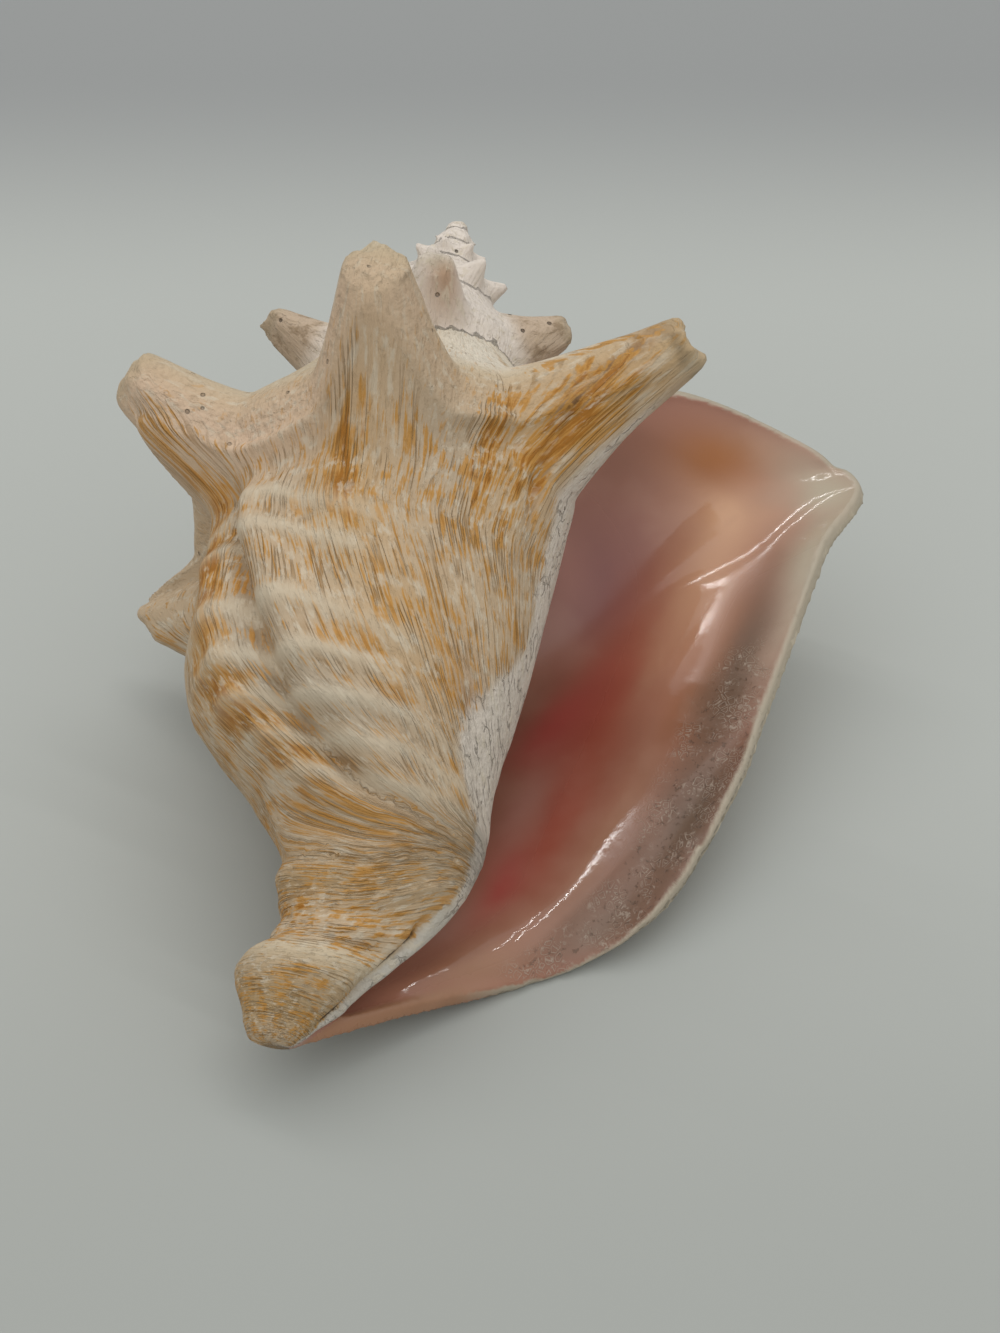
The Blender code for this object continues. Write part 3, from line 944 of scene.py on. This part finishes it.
outside = side == OUTSIDE
line = np.where(outside, growth_line(growth, share), growth)
on_last = 1 - ease(growth, 1.02, 1.25)
ragged_edge = follow(CALLUS_EDGE, share) + 0.012 * rough(share * 45, growth * 60, 20)
callus = ease(growth - ragged_edge, -0.010, 0.014) * ease(share, 0.25, 0.31) * outside * on_last
past_slit = growth - follow(SLIT, share)
beside_slit = ease(past_slit, 0.007, 0.014) * ease(share, 0.77, 0.80) * on_last
rim = 1 - ease(growth + 0.0003 * rough(share * 60, 0.5, 22), 0.0006, 0.0022)
canal_edge = (1 - ease(growth, 0.010, 0.030)) * ease(share, 0.80, 0.86)
in_groove = bell(growth, follow(GROOVE, share), 0.006) * bell(share, 0.28, 0.09)
in_seam = bell(growth, follow(SEAM, share), 0.003) * bell(share, 0.12, 0.05)
# The hollows of the relief are painted a darker brown, more so the lower they lie: painted shade.
painted_hollow_shade = np.clip(-0.11 * relief(growth, share), 0, 0.45) * on_last * (1 - callus)
painted_hollow_shade = painted_hollow_shade * span(share, 0.30, 0.40, 0.68, 0.74)
# The valleys between the ribs are painted darker as well: painted shade.
rib_shade = np.clip(-1.2 * ribs(line, share), 0, 1) * ease(rib_strength(growth, share), 0.25, 0.8)
outside_tint = painted("cream", [
    ("ivory", 0.8 * (1 - ease(share, 0.17, 0.24))),
    *[(name, patch(line, *form) * on_last) for name, *form in OUTSIDE_PATCHES],
    ("ramp white", (1 - ease(share, 0.13, 0.20)) * bell(growth, 0.83, 0.10)),
    # The groove behind the largest spine is painted dark ochre: partly its own colour, partly painted
    # shade.
    ("groove ochre and shade", 0.85 * in_groove),
    ("warm sand", in_seam),
    ("callus grey", 0.9 * callus),
    ("dead white", 0.9 * beside_slit),
    ("spire lilac", ease(growth, 1.15, 1.7)),
    ("rosy brown", patch(growth, *FRONT_SPINE)),
    ("hollow shade brown", painted_hollow_shade),
    ("hollow shade brown", 0.35 * rib_shade),
    ("rim grey", rim),
    ("pale beige", canal_edge),
])
print("points on the callus:", int((callus > 0.5).sum()))

# %% [markdown]
# ## Tints of the glaze
#
# The inside is painted in the same way. The throat is a deep rose, the lip salmon and peach, and the
# last centimetre of the margin is cream above and grey-brown below, where the glaze is pitted.

# %% Tints of the inside
# Tone, growth, share, half widths of both, strength.
INSIDE_PATCHES = [
    ("rosewood", 0.055, 0.11, 0.035, 0.05, 0.8),
    ("mauve", 0.095, 0.21, 0.030, 0.09, 0.9),
    ("pale rose", 0.110, 0.16, 0.012, 0.05, 0.5),
    ("rose", 0.080, 0.42, 0.026, 0.16, 0.8),
    ("deep rose", 0.105, 0.39, 0.024, 0.06, 0.9),
    ("deep rose", 0.092, 0.66, 0.018, 0.07, 0.9),
    ("rose", 0.076, 0.56, 0.014, 0.10, 0.8),
    ("pale rose", 0.100, 0.53, 0.014, 0.07, 0.8),
    ("peach", 0.044, 0.30, 0.020, 0.10, 0.6),
    ("peach", 0.034, 0.22, 0.012, 0.05, 0.8),
    ("ochre", 0.024, 0.160, 0.016, 0.036, 1.0),
    ("ochre", 0.026, 0.42, 0.010, 0.08, 0.5),
    ("pale beige", 0.036, 0.80, 0.030, 0.06, 0.8),
    ("pale beige", 0.040, 0.62, 0.008, 0.10, 0.5),
    ("brown margin", 0.017, 0.43, 0.011, 0.10, 1.0),
    ("grey margin", 0.010, 0.58, 0.021, 0.10, 1.0),
    ("grey margin", 0.016, 0.69, 0.020, 0.06, 0.95),
    ("cream rim", 0.008, 0.24, 0.010, 0.06, 0.95),
    ("cream rim", 0.003, 0.33, 0.008, 0.09, 0.95),
]
blurred_growth = growth + 0.004 * rough(growth * 70, share * 18, 21)
inside_tint = painted("salmon", [
    *[(name, patch(blurred_growth, *form)) for name, *form in INSIDE_PATCHES],
    ("rim grey", rim),
    ("pale beige", canal_edge),
])
# The glaze also covers the old whorl behind the mouth, which is the outside one whorl earlier.
throat_tint = painted("salmon", [("rose", ease(growth, 1.0, 1.25)), ("pale beige", canal_edge)])
behind_mouth = ease(growth, 0.985, 1.01) * ease(share, 0.35, 0.38) * (growth < 2.2)
glaze = np.where(outside, np.maximum(behind_mouth, canal_edge), 1.0)
glaze_tint = np.where(outside[:, None], throat_tint, inside_tint)
tint = outside_tint * (1 - glaze[:, None]) + glaze_tint * glaze[:, None]
print("share of the points under glaze:", round(float(glaze.mean()), 2))

# %% [markdown]
# ## Masks for the fine patterns
#
# Streaks, cracks and pits are too fine for the points, so the materials draw them. The points only say
# how strong each pattern is, and where on the surface they are, in real mm along and across the
# growth lines, so that a streak is as wide as it really is.

# %% Masks
# Streaked places: growth line, share, half widths of both, strength.
STREAKS = [
    (0.565, 0.45, 0.030, 0.12, 1.8),
    (0.56, 0.60, 0.034, 0.10, 1.9),
    (0.716, 0.390, 0.018, 0.060, 1.8),
    (0.71, 0.45, 0.030, 0.07, 0.7),
    (0.775, 0.36, 0.020, 0.05, 0.5),
    (0.83, 0.31, 0.016, 0.09, 1.3),
    (0.87, 0.28, 0.026, 0.09, 1.7),
    (0.86, 0.42, 0.016, 0.09, 0.9),
    (0.77, 0.54, 0.040, 0.08, 0.8),
    (0.81, 0.57, 0.025, 0.05, 0.9),
    (0.50, 0.77, 0.200, 0.035, 0.30),
    (0.38, 0.82, 0.200, 0.020, 0.8),
    (0.30, 0.92, 0.300, 0.040, 0.5),
]
# Growth line or growth, share, half widths and strength of the pale fold and of a spine without streaks.
PALE_FOLD = (0.63, 0.60, 0.03, 0.10, 0.6)
BARE_SPINE = (0.385, 0.26, 0.060, 0.10, 0.9)
CRUSTED_SPINES = (1.510, 1.968)
BODY_RADIUS = 46.0
CANAL_RADIUS = 19.0
OUTLINE_LENGTH = 215.0
# Keeps the distance along the lines even where they turn into rings, in mm.
RING_MEETING = 240.0


def arc(number):
    """Distance around the shell in mm for a growth number."""
    return 2 * math.pi * BODY_RADIUS * (1 - np.exp(-RADIUS_RATE * number)) / RADIUS_RATE


tips, tip_edges, crusts, worn = np.zeros((4, len(growth)))
for where, length, tilt, base, tip, narrow in SPINES[2:]:
    along, away, sideways, lengthways = in_spine_frame(shell_points, where, tilt, narrow)
    near = (np.abs(growth - where) < 0.16) & outside
    edge = bell(away + 0.8 * rough(sideways / 2, lengthways / 2), tip + 0.8, 0.8)
    tips = np.maximum(tips, near * ease(along, 0.80 * length, 0.97 * length) * (away < 1.6 * tip))
    tip_edges = np.maximum(tip_edges, near * edge * ease(along, 0.82 * length, 0.93 * length))
    worn = np.maximum(worn, near * ease(along, 0.50 * length, 0.90 * length))
    if where in CRUSTED_SPINES:
        crusts = np.maximum(crusts, near * ease(along, -0.1 * length, 0.3 * length))

white_cords = sum(bell(bent_cords(line, share), where, 0.8 * wide) for where, wide, high in CORDS)
white_cords = np.clip(white_cords * bell(line, 0.64, 0.11), 0, 1)
streaks = (0.10 + 0.45 * ease(share, 0.29, 0.40)) * (1 - patch(line, *PALE_FOLD))
streaks = np.maximum.reduce([streaks] + [patch(line, *form) for form in STREAKS]) * on_last
above_lobe = bell(share, 0.868, 0.016) * ease(growth, 0.35, 0.55)
for bare in (patch(growth, *BARE_SPINE), 0.85 * white_cords, callus, beside_slit, rim, canal_edge,
             0.85 * above_lobe, 0.8 * worn):
    streaks = streaks * (1 - bare)
pits = 0.9 * bell(growth, 0.014, 0.014) * span(share, 0.35, 0.48, 0.74, 0.82) * ~outside
margin = (1 - ease(growth, 0.024, 0.038)) * ease(share, 0.28, 0.36)
throat = ease(growth, 0.060, 0.085)
dull = np.maximum.reduce([0.8 * margin * ~outside, rim, 0.6 * throat * ~outside])
spire_pits = ease(growth, 1.5, 1.9) * outside
past_keel = share - follow(KEEL, growth)
dry = (1 - ease(past_keel, -0.03, 0.02)) * outside
# The groove, the slit and the crease are painted dark along their bottoms: painted shade. The worn tips
# get a dark edge as well.
groove_shade = 0.45 * bell(growth, follow(GROOVE, share), 0.003) * bell(share, 0.27, 0.07)
slit_shade = 1.3 * bell(past_slit, 0, 0.0065) * span(share, 0.805, 0.835, 0.92, 0.95)
crease_shade = 0.7 * bell(bent_crease(growth, share), CREASE_SHARE, 0.004) * bell(growth, 0.76, 0.18)
crease_shade = crease_shade * (0.6 + 0.4 * noise(growth * 60, 0.5, 30))
shade_and_tip_lines = np.maximum.reduce([groove_shade, slit_shade, crease_shade, 0.50 * tip_edges]) * outside
around_canal = ring_turn(growth, share)
down = share * OUTLINE_LENGTH * np.exp(-DROP_RATE * np.clip(growth - 1, 0, 9))
down = down * (1 - around_canal) + (RING_MEETING - growth * 2 * math.pi * CANAL_RADIUS) * around_canal
pattern = np.stack((arc(line), down, np.zeros(len(growth))), axis=-1)


def give_points(mesh, name, kind, values):
    """Write one value per point to a named attribute of the mesh."""
    attribute = mesh.attributes.new(name, kind, "POINT")
    field = {"FLOAT": "value", "FLOAT_VECTOR": "vector", "FLOAT_COLOR": "color"}[kind]
    attribute.data.foreach_set(field, np.ascontiguousarray(values, np.float32).ravel())


mesh = shell.data
give_points(mesh, "tint", "FLOAT_COLOR", np.column_stack((tint, np.ones(len(tint)))))
give_points(mesh, "pattern", "FLOAT_VECTOR", pattern)
for name, values in (("streaks", streaks), ("callus", callus), ("pits", pits), ("dull", dull),
                     ("cords", white_cords), ("spire_pits", spire_pits), ("dry", dry), ("tips", tips),
                     ("shade_and_tip_lines", shade_and_tip_lines), ("crusts", crusts)):
    give_points(mesh, name, "FLOAT", values)
print("attributes:", [attribute.name for attribute in mesh.attributes if attribute.domain == "POINT"])

# %% [markdown]
# ## Functions for nodes
#
# A material is a tree of nodes. The first function adds one node, sets its properties and fills its
# inputs, either with a value or with a link from another node. The short ones after it build on it:
# they stretch a value, join values by a sum or a product, and lay tones over a colour where masks are.

# %% Node helpers
def connect(tree, node, inputs):
    """Fill the inputs of a node, each with a value or with a link."""
    for name, value in inputs.items():
        if isinstance(value, bpy.types.NodeSocket):
            tree.links.new(value, node.inputs[name])
        else:
            node.inputs[name].default_value = value


def add_node(tree, kind, inputs=None, **settings):
    made = tree.nodes.new(kind)
    for name, value in settings.items():
        setattr(made, name, value)
    connect(tree, made, inputs or {})
    return made


FACTOR, COLOUR_A, COLOUR_B, MIXED = 0, 6, 7, 2


def mix(tree, factor, first, second):
    made = add_node(tree, "ShaderNodeMix", {FACTOR: factor, COLOUR_A: first, COLOUR_B: second},
                    data_type="RGBA")
    return made.outputs[MIXED]


def spread(tree, value, low, high):
    """Stretch a value so that low becomes 0 and high becomes 1."""
    made = add_node(tree, "ShaderNodeMapRange",
                    {"Value": value, "From Min": low, "From Max": high}, interpolation_type="SMOOTHSTEP")
    return made.outputs["Result"]


def chain(tree, operation, values):
    """Values joined one after the other by a sum, a product or another operation."""
    return functools.reduce(lambda first, second: add_node(
        tree, "ShaderNodeMath", {0: first, 1: second}, operation=operation).outputs[0], values)


def times(tree, *values):
    return chain(tree, "MULTIPLY", values)


def plus(tree, *values):
    return chain(tree, "ADD", values)


def minus(tree, *values):
    return chain(tree, "SUBTRACT", values)


def coats(tree, colour, layers):
    """Lay tones over a colour, each where its mask is, with a strength if one is given."""
    for name, *factors in layers:
        colour = mix(tree, times(tree, *factors), colour, tone(name))
    return colour


def speckle(tree, place, per_metre, detail, roughness=0.5, output="Fac"):
    """Noise with so many lumps per metre, the same in all directions."""
    return add_node(tree, "ShaderNodeTexNoise", {"Vector": place, "Scale": per_metre, "Detail": detail,
                                                 "Roughness": roughness}).outputs[output]


def object_coordinates(tree):
    return add_node(tree, "ShaderNodeTexCoord").outputs["Object"]


def attribute(tree, name, output="Fac"):
    return add_node(tree, "ShaderNodeAttribute", attribute_name=name).outputs[output]


def new_material(name):
    material = bpy.data.materials.new(name)
    material.use_nodes = True
    return material, material.node_tree, material.node_tree.nodes["Principled BSDF"]


print("node helpers ready")

# %% [markdown]
# ## The outside: weathered lime
#
# Conch shell is aragonite, grown in layers. The outside has lost its skin and is dry and chalky, so it
# is rough and has no gloss. Ochre streaks follow the growth lines, 0.5 to 1 mm wide and some mm long,
# with brown hairlines between them. The callus beside the mouth is cracked in plates of 2 by 4 mm.

# %% Weathered lime
# Aragonite, grown and weathered: IOR 1.6, chalky, so the eye sees colour and relief but no gloss.
lime, tree, surface = new_material("weathered_aragonite_lime")
place = attribute(tree, "pattern", "Vector")
tint_colour = attribute(tree, "tint", "Color")
object_place = object_coordinates(tree)
# Patterns that follow the growth lines: size in mm across and along them, detail.
GRAINS = {
    "fine streaks": (0.55, 7.0, 2.0),
    "broad streaks": (2.2, 16.0, 2.0),
    "streak patches": (8.0, 6.0, 3.0),
    "hairlines": (1.2, 30.0, 1.0),
    "hairline patches": (5.0, 12.0, 2.0),
    "chalk": (1.2, 3.5, 4.0),
    "shade": (0.8, 2.6, 4.0),
    "old grey": (14.0, 20.0, 3.0),
    "crack patches": (3.0, 6.0, 2.0),
}
CRACK_PLATE = (2.0, 4.5)


def scaled(tree, place, across, along):
    """Coordinates in which one unit is so many mm across and along the growth lines."""
    return add_node(tree, "ShaderNodeVectorMath", {0: place, 1: (1 / across, 1 / along, 1.0)},
                    operation="MULTIPLY").outputs[0]


def grain(tree, place, name, distortion=0.0):
    """Stretched noise from the table above."""
    across, along, detail = GRAINS[name]
    return add_node(tree, "ShaderNodeTexNoise",
                    {"Vector": scaled(tree, place, across, along), "Scale": 1.0, "Detail": detail,
                     "Roughness": 0.6, "Distortion": distortion}).outputs["Fac"]


def thin_lines(tree, value, width):
    """1 along the lines where a noise passes through its middle value."""
    away = chain(tree, "ABSOLUTE", (minus(tree, value, 0.5), 0.0))
    return spread(tree, away, width, 0.2 * width)


fine = grain(tree, place, "fine streaks")
broad = grain(tree, place, "broad streaks", 0.3)
patchy = grain(tree, place, "streak patches")
strength = attribute(tree, "streaks")
level = plus(tree, times(tree, fine, 0.50), times(tree, broad, 0.22), times(tree, patchy, 0.28),
             times(tree, strength, 0.11))
streak = times(tree, spread(tree, level, 0.560, 0.615), spread(tree, strength, 0.02, 0.2))
deep = times(tree, spread(tree, level, 0.615, 0.70), spread(tree, strength, 0.3, 0.8))
hair = times(tree, thin_lines(tree, grain(tree, place, "hairlines"), 0.045),
             spread(tree, grain(tree, place, "hairline patches"), 0.42, 0.58),
             spread(tree, strength, 0.0, 0.4))
chalk = times(tree, spread(tree, grain(tree, place, "chalk"), 0.50, 0.62),
              spread(tree, patchy, 0.62, 0.42))
# The shade layer darkens the small hollows that the bump sinks in the same places: painted shade.
shaded = spread(tree, grain(tree, place, "shade"), 0.47, 0.33)
old_grey = spread(tree, grain(tree, place, "old grey"), 0.52, 0.66)
colour = coats(tree, tint_colour, [
    ("streak", streak, 0.9),
    ("deep streak", deep),
    ("hairline", hair, 0.60),
    ("chalk", chalk, 0.60),
    ("shade", shaded, 0.12),
    ("old grey", old_grey, 0.15),
    ("cord", attribute(tree, "cords"), 0.62),
])
print("colour layers of the outside:", len(tree.nodes), "nodes so far")

# %% Cracks, crusts, painted shade lines and dark tip edges of the lime
bent = speckle(tree, object_place, 300.0, 2.0, output="Color")
bent_place = add_node(tree, "ShaderNodeVectorMath", {0: scaled(tree, place, *CRACK_PLATE), 1: bent},
                      operation="ADD").outputs[0]
crack = add_node(tree, "ShaderNodeTexVoronoi", {"Vector": bent_place, "Scale": 1.0},
                 feature="DISTANCE_TO_EDGE").outputs["Distance"]
callus_mask = attribute(tree, "callus")
dry_faces = attribute(tree, "dry")
crust_mask = attribute(tree, "crusts")
crack_line = times(tree, spread(tree, crack, 0.07, 0.015),
                   spread(tree, grain(tree, place, "crack patches"), 0.46, 0.58), callus_mask)
specks = speckle(tree, object_place, 650.0, 3.0)
dusty = spread(tree, speckle(tree, object_place, 70.0, 3.0), 0.45, 0.62)
dry_mask = plus(tree, times(tree, dry_faces, 0.30), times(tree, callus_mask, 0.25))
crumbs = spread(tree, speckle(tree, object_place, 260.0, 5.0, 0.7), 0.48, 0.66)
pit = add_node(tree, "ShaderNodeTexVoronoi", {"Vector": object_place, "Scale": 300.0})
chosen = add_node(tree, "ShaderNodeSeparateXYZ", {"Vector": pit.outputs["Color"]}).outputs["X"]
few = times(tree, chain(tree, "MAXIMUM", (callus_mask, dry_faces)), 0.6)
pit_mask = chain(tree, "MAXIMUM", (attribute(tree, "spire_pits"), crust_mask, few))
pit_spot = times(tree, spread(tree, pit.outputs["Distance"], 0.20, 0.10),
                 spread(tree, chosen, 0.80, 0.82), pit_mask)
# Painted shade along the groove, the slit and the crease, with the dark edges of the worn tips.
shade_and_tip_line = spread(tree, attribute(tree, "shade_and_tip_lines"), 0.2, 0.9)
colour = coats(tree, colour, [
    ("crack", crack_line, 0.42),
    ("speck", spread(tree, specks, 0.50, 0.66), dry_mask, dusty),
    ("crust", crust_mask, 0.75),
    ("crumb", crumbs, 0.6, crust_mask),
    ("pit", pit_spot, 0.8),
    ("worn tip", attribute(tree, "tips"), 0.25),
    ("dark line", shade_and_tip_line, 0.9),
])
raised = plus(tree, times(tree, fine, 0.5), times(tree, broad, 0.35),
              times(tree, specks, plus(tree, times(tree, dry_mask, 1.6), 0.25)))
sunk = plus(tree, times(tree, hair, 0.45), crack_line, times(tree, pit_spot, 2.0))
height = minus(tree, raised, times(tree, shaded, 0.14), times(tree, sunk, 0.6))
bump = add_node(tree, "ShaderNodeBump", {"Height": height, "Strength": 1.0, "Distance": 0.0009})
connect(tree, surface, {"Base Color": colour, "Normal": bump.outputs["Normal"], "Roughness": 0.75,
                        "IOR": 1.6, "Specular IOR Level": 0.25})
print("outside material:", lime.name, "with", len(tree.nodes), "nodes")

# %% [markdown]
# ## The inside: pink glaze
#
# The animal lined its mouth with a smooth layer that looks like glazed china. It has a clear gloss, and
# the strip lights over the table show in it as two thin lines. Toward the margin the glaze is pitted
# and dull.

# %% Pink glaze
# Porcelaneous aragonite, laid down smooth and polished by the animal: sharp highlights on soft colour.
pink, tree, surface = new_material("pink_porcelain_glaze")
tint_colour = attribute(tree, "tint", "Color")
object_place = object_coordinates(tree)
cloud = speckle(tree, object_place, 45.0, 3.0)
pit_zone = attribute(tree, "pits")
fleck = speckle(tree, object_place, 620.0, 4.0, 0.65)
blotch = speckle(tree, object_place, 150.0, 2.0)
cell = add_node(tree, "ShaderNodeTexVoronoi", {"Vector": object_place, "Scale": 520.0},
                feature="DISTANCE_TO_EDGE").outputs["Distance"]
ring = times(tree, thin_lines(tree, plus(tree, cell, 0.36), 0.05), spread(tree, blotch, 0.45, 0.60))
grains = times(tree, spread(tree, fleck, 0.55, 0.66), spread(tree, blotch, 0.38, 0.58))
flecks = times(tree, chain(tree, "MAXIMUM", (grains, ring)), spread(tree, pit_zone, 0.08, 0.45))
holes = times(tree, spread(tree, fleck, 0.42, 0.33), spread(tree, pit_zone, 0.2, 0.6))
colour = coats(tree, tint_colour, [
    ("glaze cloud", spread(tree, cloud, 0.45, 0.7), 0.10),
    ("glaze fleck", flecks, 0.50),
    ("glaze hole", holes, 0.5),
])
roughness = add_node(tree, "ShaderNodeMapRange",
                     {"Value": attribute(tree, "dull"), "To Min": 0.07, "To Max": 0.48}).outputs["Result"]
ripple = speckle(tree, object_place, 380.0, 2.0)
height = plus(tree, times(tree, ripple, 0.10), times(tree, minus(tree, flecks, holes), 0.6))
bump = add_node(tree, "ShaderNodeBump", {"Height": height, "Strength": 0.5, "Distance": 0.0004})
connect(tree, surface, {"Base Color": colour, "Normal": bump.outputs["Normal"], "Roughness": roughness,
                        "IOR": 1.6, "Specular IOR Level": 0.36})
print("inside material:", pink.name, "with", len(tree.nodes), "nodes")

# %% [markdown]
# ## Dressing the shell
#
# Both materials go on the one shell. A face takes the glaze where most of its points are under it.

# %% Materials on the shell
def read_numbers(parts, name):
    values = np.empty(len(parts), int)
    parts.foreach_get(name, values)
    return values


mesh.materials.clear()
for material in (lime, pink):
    mesh.materials.append(material)
corners, starts, totals = [read_numbers(parts, name) for parts, name in (
    (mesh.loops, "vertex_index"), (mesh.polygons, "loop_start"), (mesh.polygons, "loop_total"))]
face_glaze = np.add.reduceat(glaze[corners], starts) / totals
mesh.polygons.foreach_set("material_index", (face_glaze > 0.5).astype(int))
mesh.shade_smooth()
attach(shell, "root")
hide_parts("conch_shell")
print("glazed faces:", int((face_glaze > 0.5).sum()), "of", len(mesh.polygons))

# %% [markdown]
# ## Table
#
# The shell lies on a plain pale board. Its material paints it a little darker toward the front and more
# so farther back, by the board's own coordinates: painted shade, where less light reaches the board.

# %% Table
bm = bmesh.new()
bmesh.ops.create_grid(bm, x_segments=1, y_segments=1, size=3.0)
table_mesh = bpy.data.meshes.new("table")
bm.to_mesh(table_mesh)
bm.free()
table = bpy.data.objects.new("table", table_mesh)
bpy.context.scene.collection.objects.link(table)
# Matt painted board: plain and without gloss.
board, tree, surface = new_material("matt_painted_board")
backward = add_node(tree, "ShaderNodeSeparateXYZ", {"Vector": object_coordinates(tree)}).outputs["Y"]
# The near and far tones paint the board darker where less light falls: painted shade.
colour = mix(tree, spread(tree, backward, -0.16, 0.02), tone("near board shade"), tone("board"))
colour = coats(tree, colour, [("far board shade", spread(tree, backward, 0.22, 0.42))])
connect(tree, surface, {"Base Color": colour, "Roughness": 0.85})
table_mesh.materials.append(board)

# %% [markdown]
# ## Light
#
# The photograph has a soft even light and two thin parallel highlights, so there was a wide white
# ceiling and a lamp with two long tubes. Here a bright sky stands for the ceiling, strongest overhead
# and toward the viewer, and two long narrow area lights stand for the tubes.

# %% Light
# Strength of the sky toward the viewer and toward the back, and at the horizon and overhead.
SKY_AROUND = (1.0, 0.5)
SKY_UPWARD = (0.55, 1.60)
# The two tubes of the ceiling lamp: middle of the lamp, direction seen from above, gap between them,
# length and width of a tube in metres and its power in watts.
TUBE_MIDDLE = Vector((-0.22, 0.82, 1.90))
TUBE_TURN = math.radians(-30)
TUBE_GAP = 0.30
TUBE_SIZE = (2.6, 0.012)
TUBE_POWER = 5


def sky_level(tree, direction, lowest, levels):
    """Strength that follows one direction of the sky, from lowest to 1."""
    made = add_node(tree, "ShaderNodeMapRange", {"Value": direction, "From Min": lowest,
                                                 "To Min": levels[0], "To Max": levels[1]})
    return made.outputs["Result"]


world = bpy.data.worlds.new("soft_ceiling")
bpy.context.scene.world = world
world.use_nodes = True
tree = world.node_tree
sky_place = add_node(tree, "ShaderNodeTexCoord").outputs["Generated"]
directions = add_node(tree, "ShaderNodeSeparateXYZ", {"Vector": sky_place}).outputs
strength = times(tree, sky_level(tree, directions["Y"], -1.0, SKY_AROUND),
                 sky_level(tree, directions["Z"], 0.0, SKY_UPWARD))
connect(tree, tree.nodes["Background"], {"Color": tone("ceiling"), "Strength": strength})
for name, step in (("tube_near", -0.5), ("tube_far", 0.5)):
    data = bpy.data.lights.new(name, "AREA")
    data.shape = "RECTANGLE"
    data.size, data.size_y = TUBE_SIZE
    data.energy = TUBE_POWER
    lamp = bpy.data.objects.new(name, data)
    bpy.context.scene.collection.objects.link(lamp)
    across = Vector((-math.sin(TUBE_TURN), math.cos(TUBE_TURN), 0))
    lamp.location = TUBE_MIDDLE + across * TUBE_GAP * step
    lamp.rotation_euler = (0, 0, TUBE_TURN)
bpy.context.scene.view_settings.view_transform = "Standard"
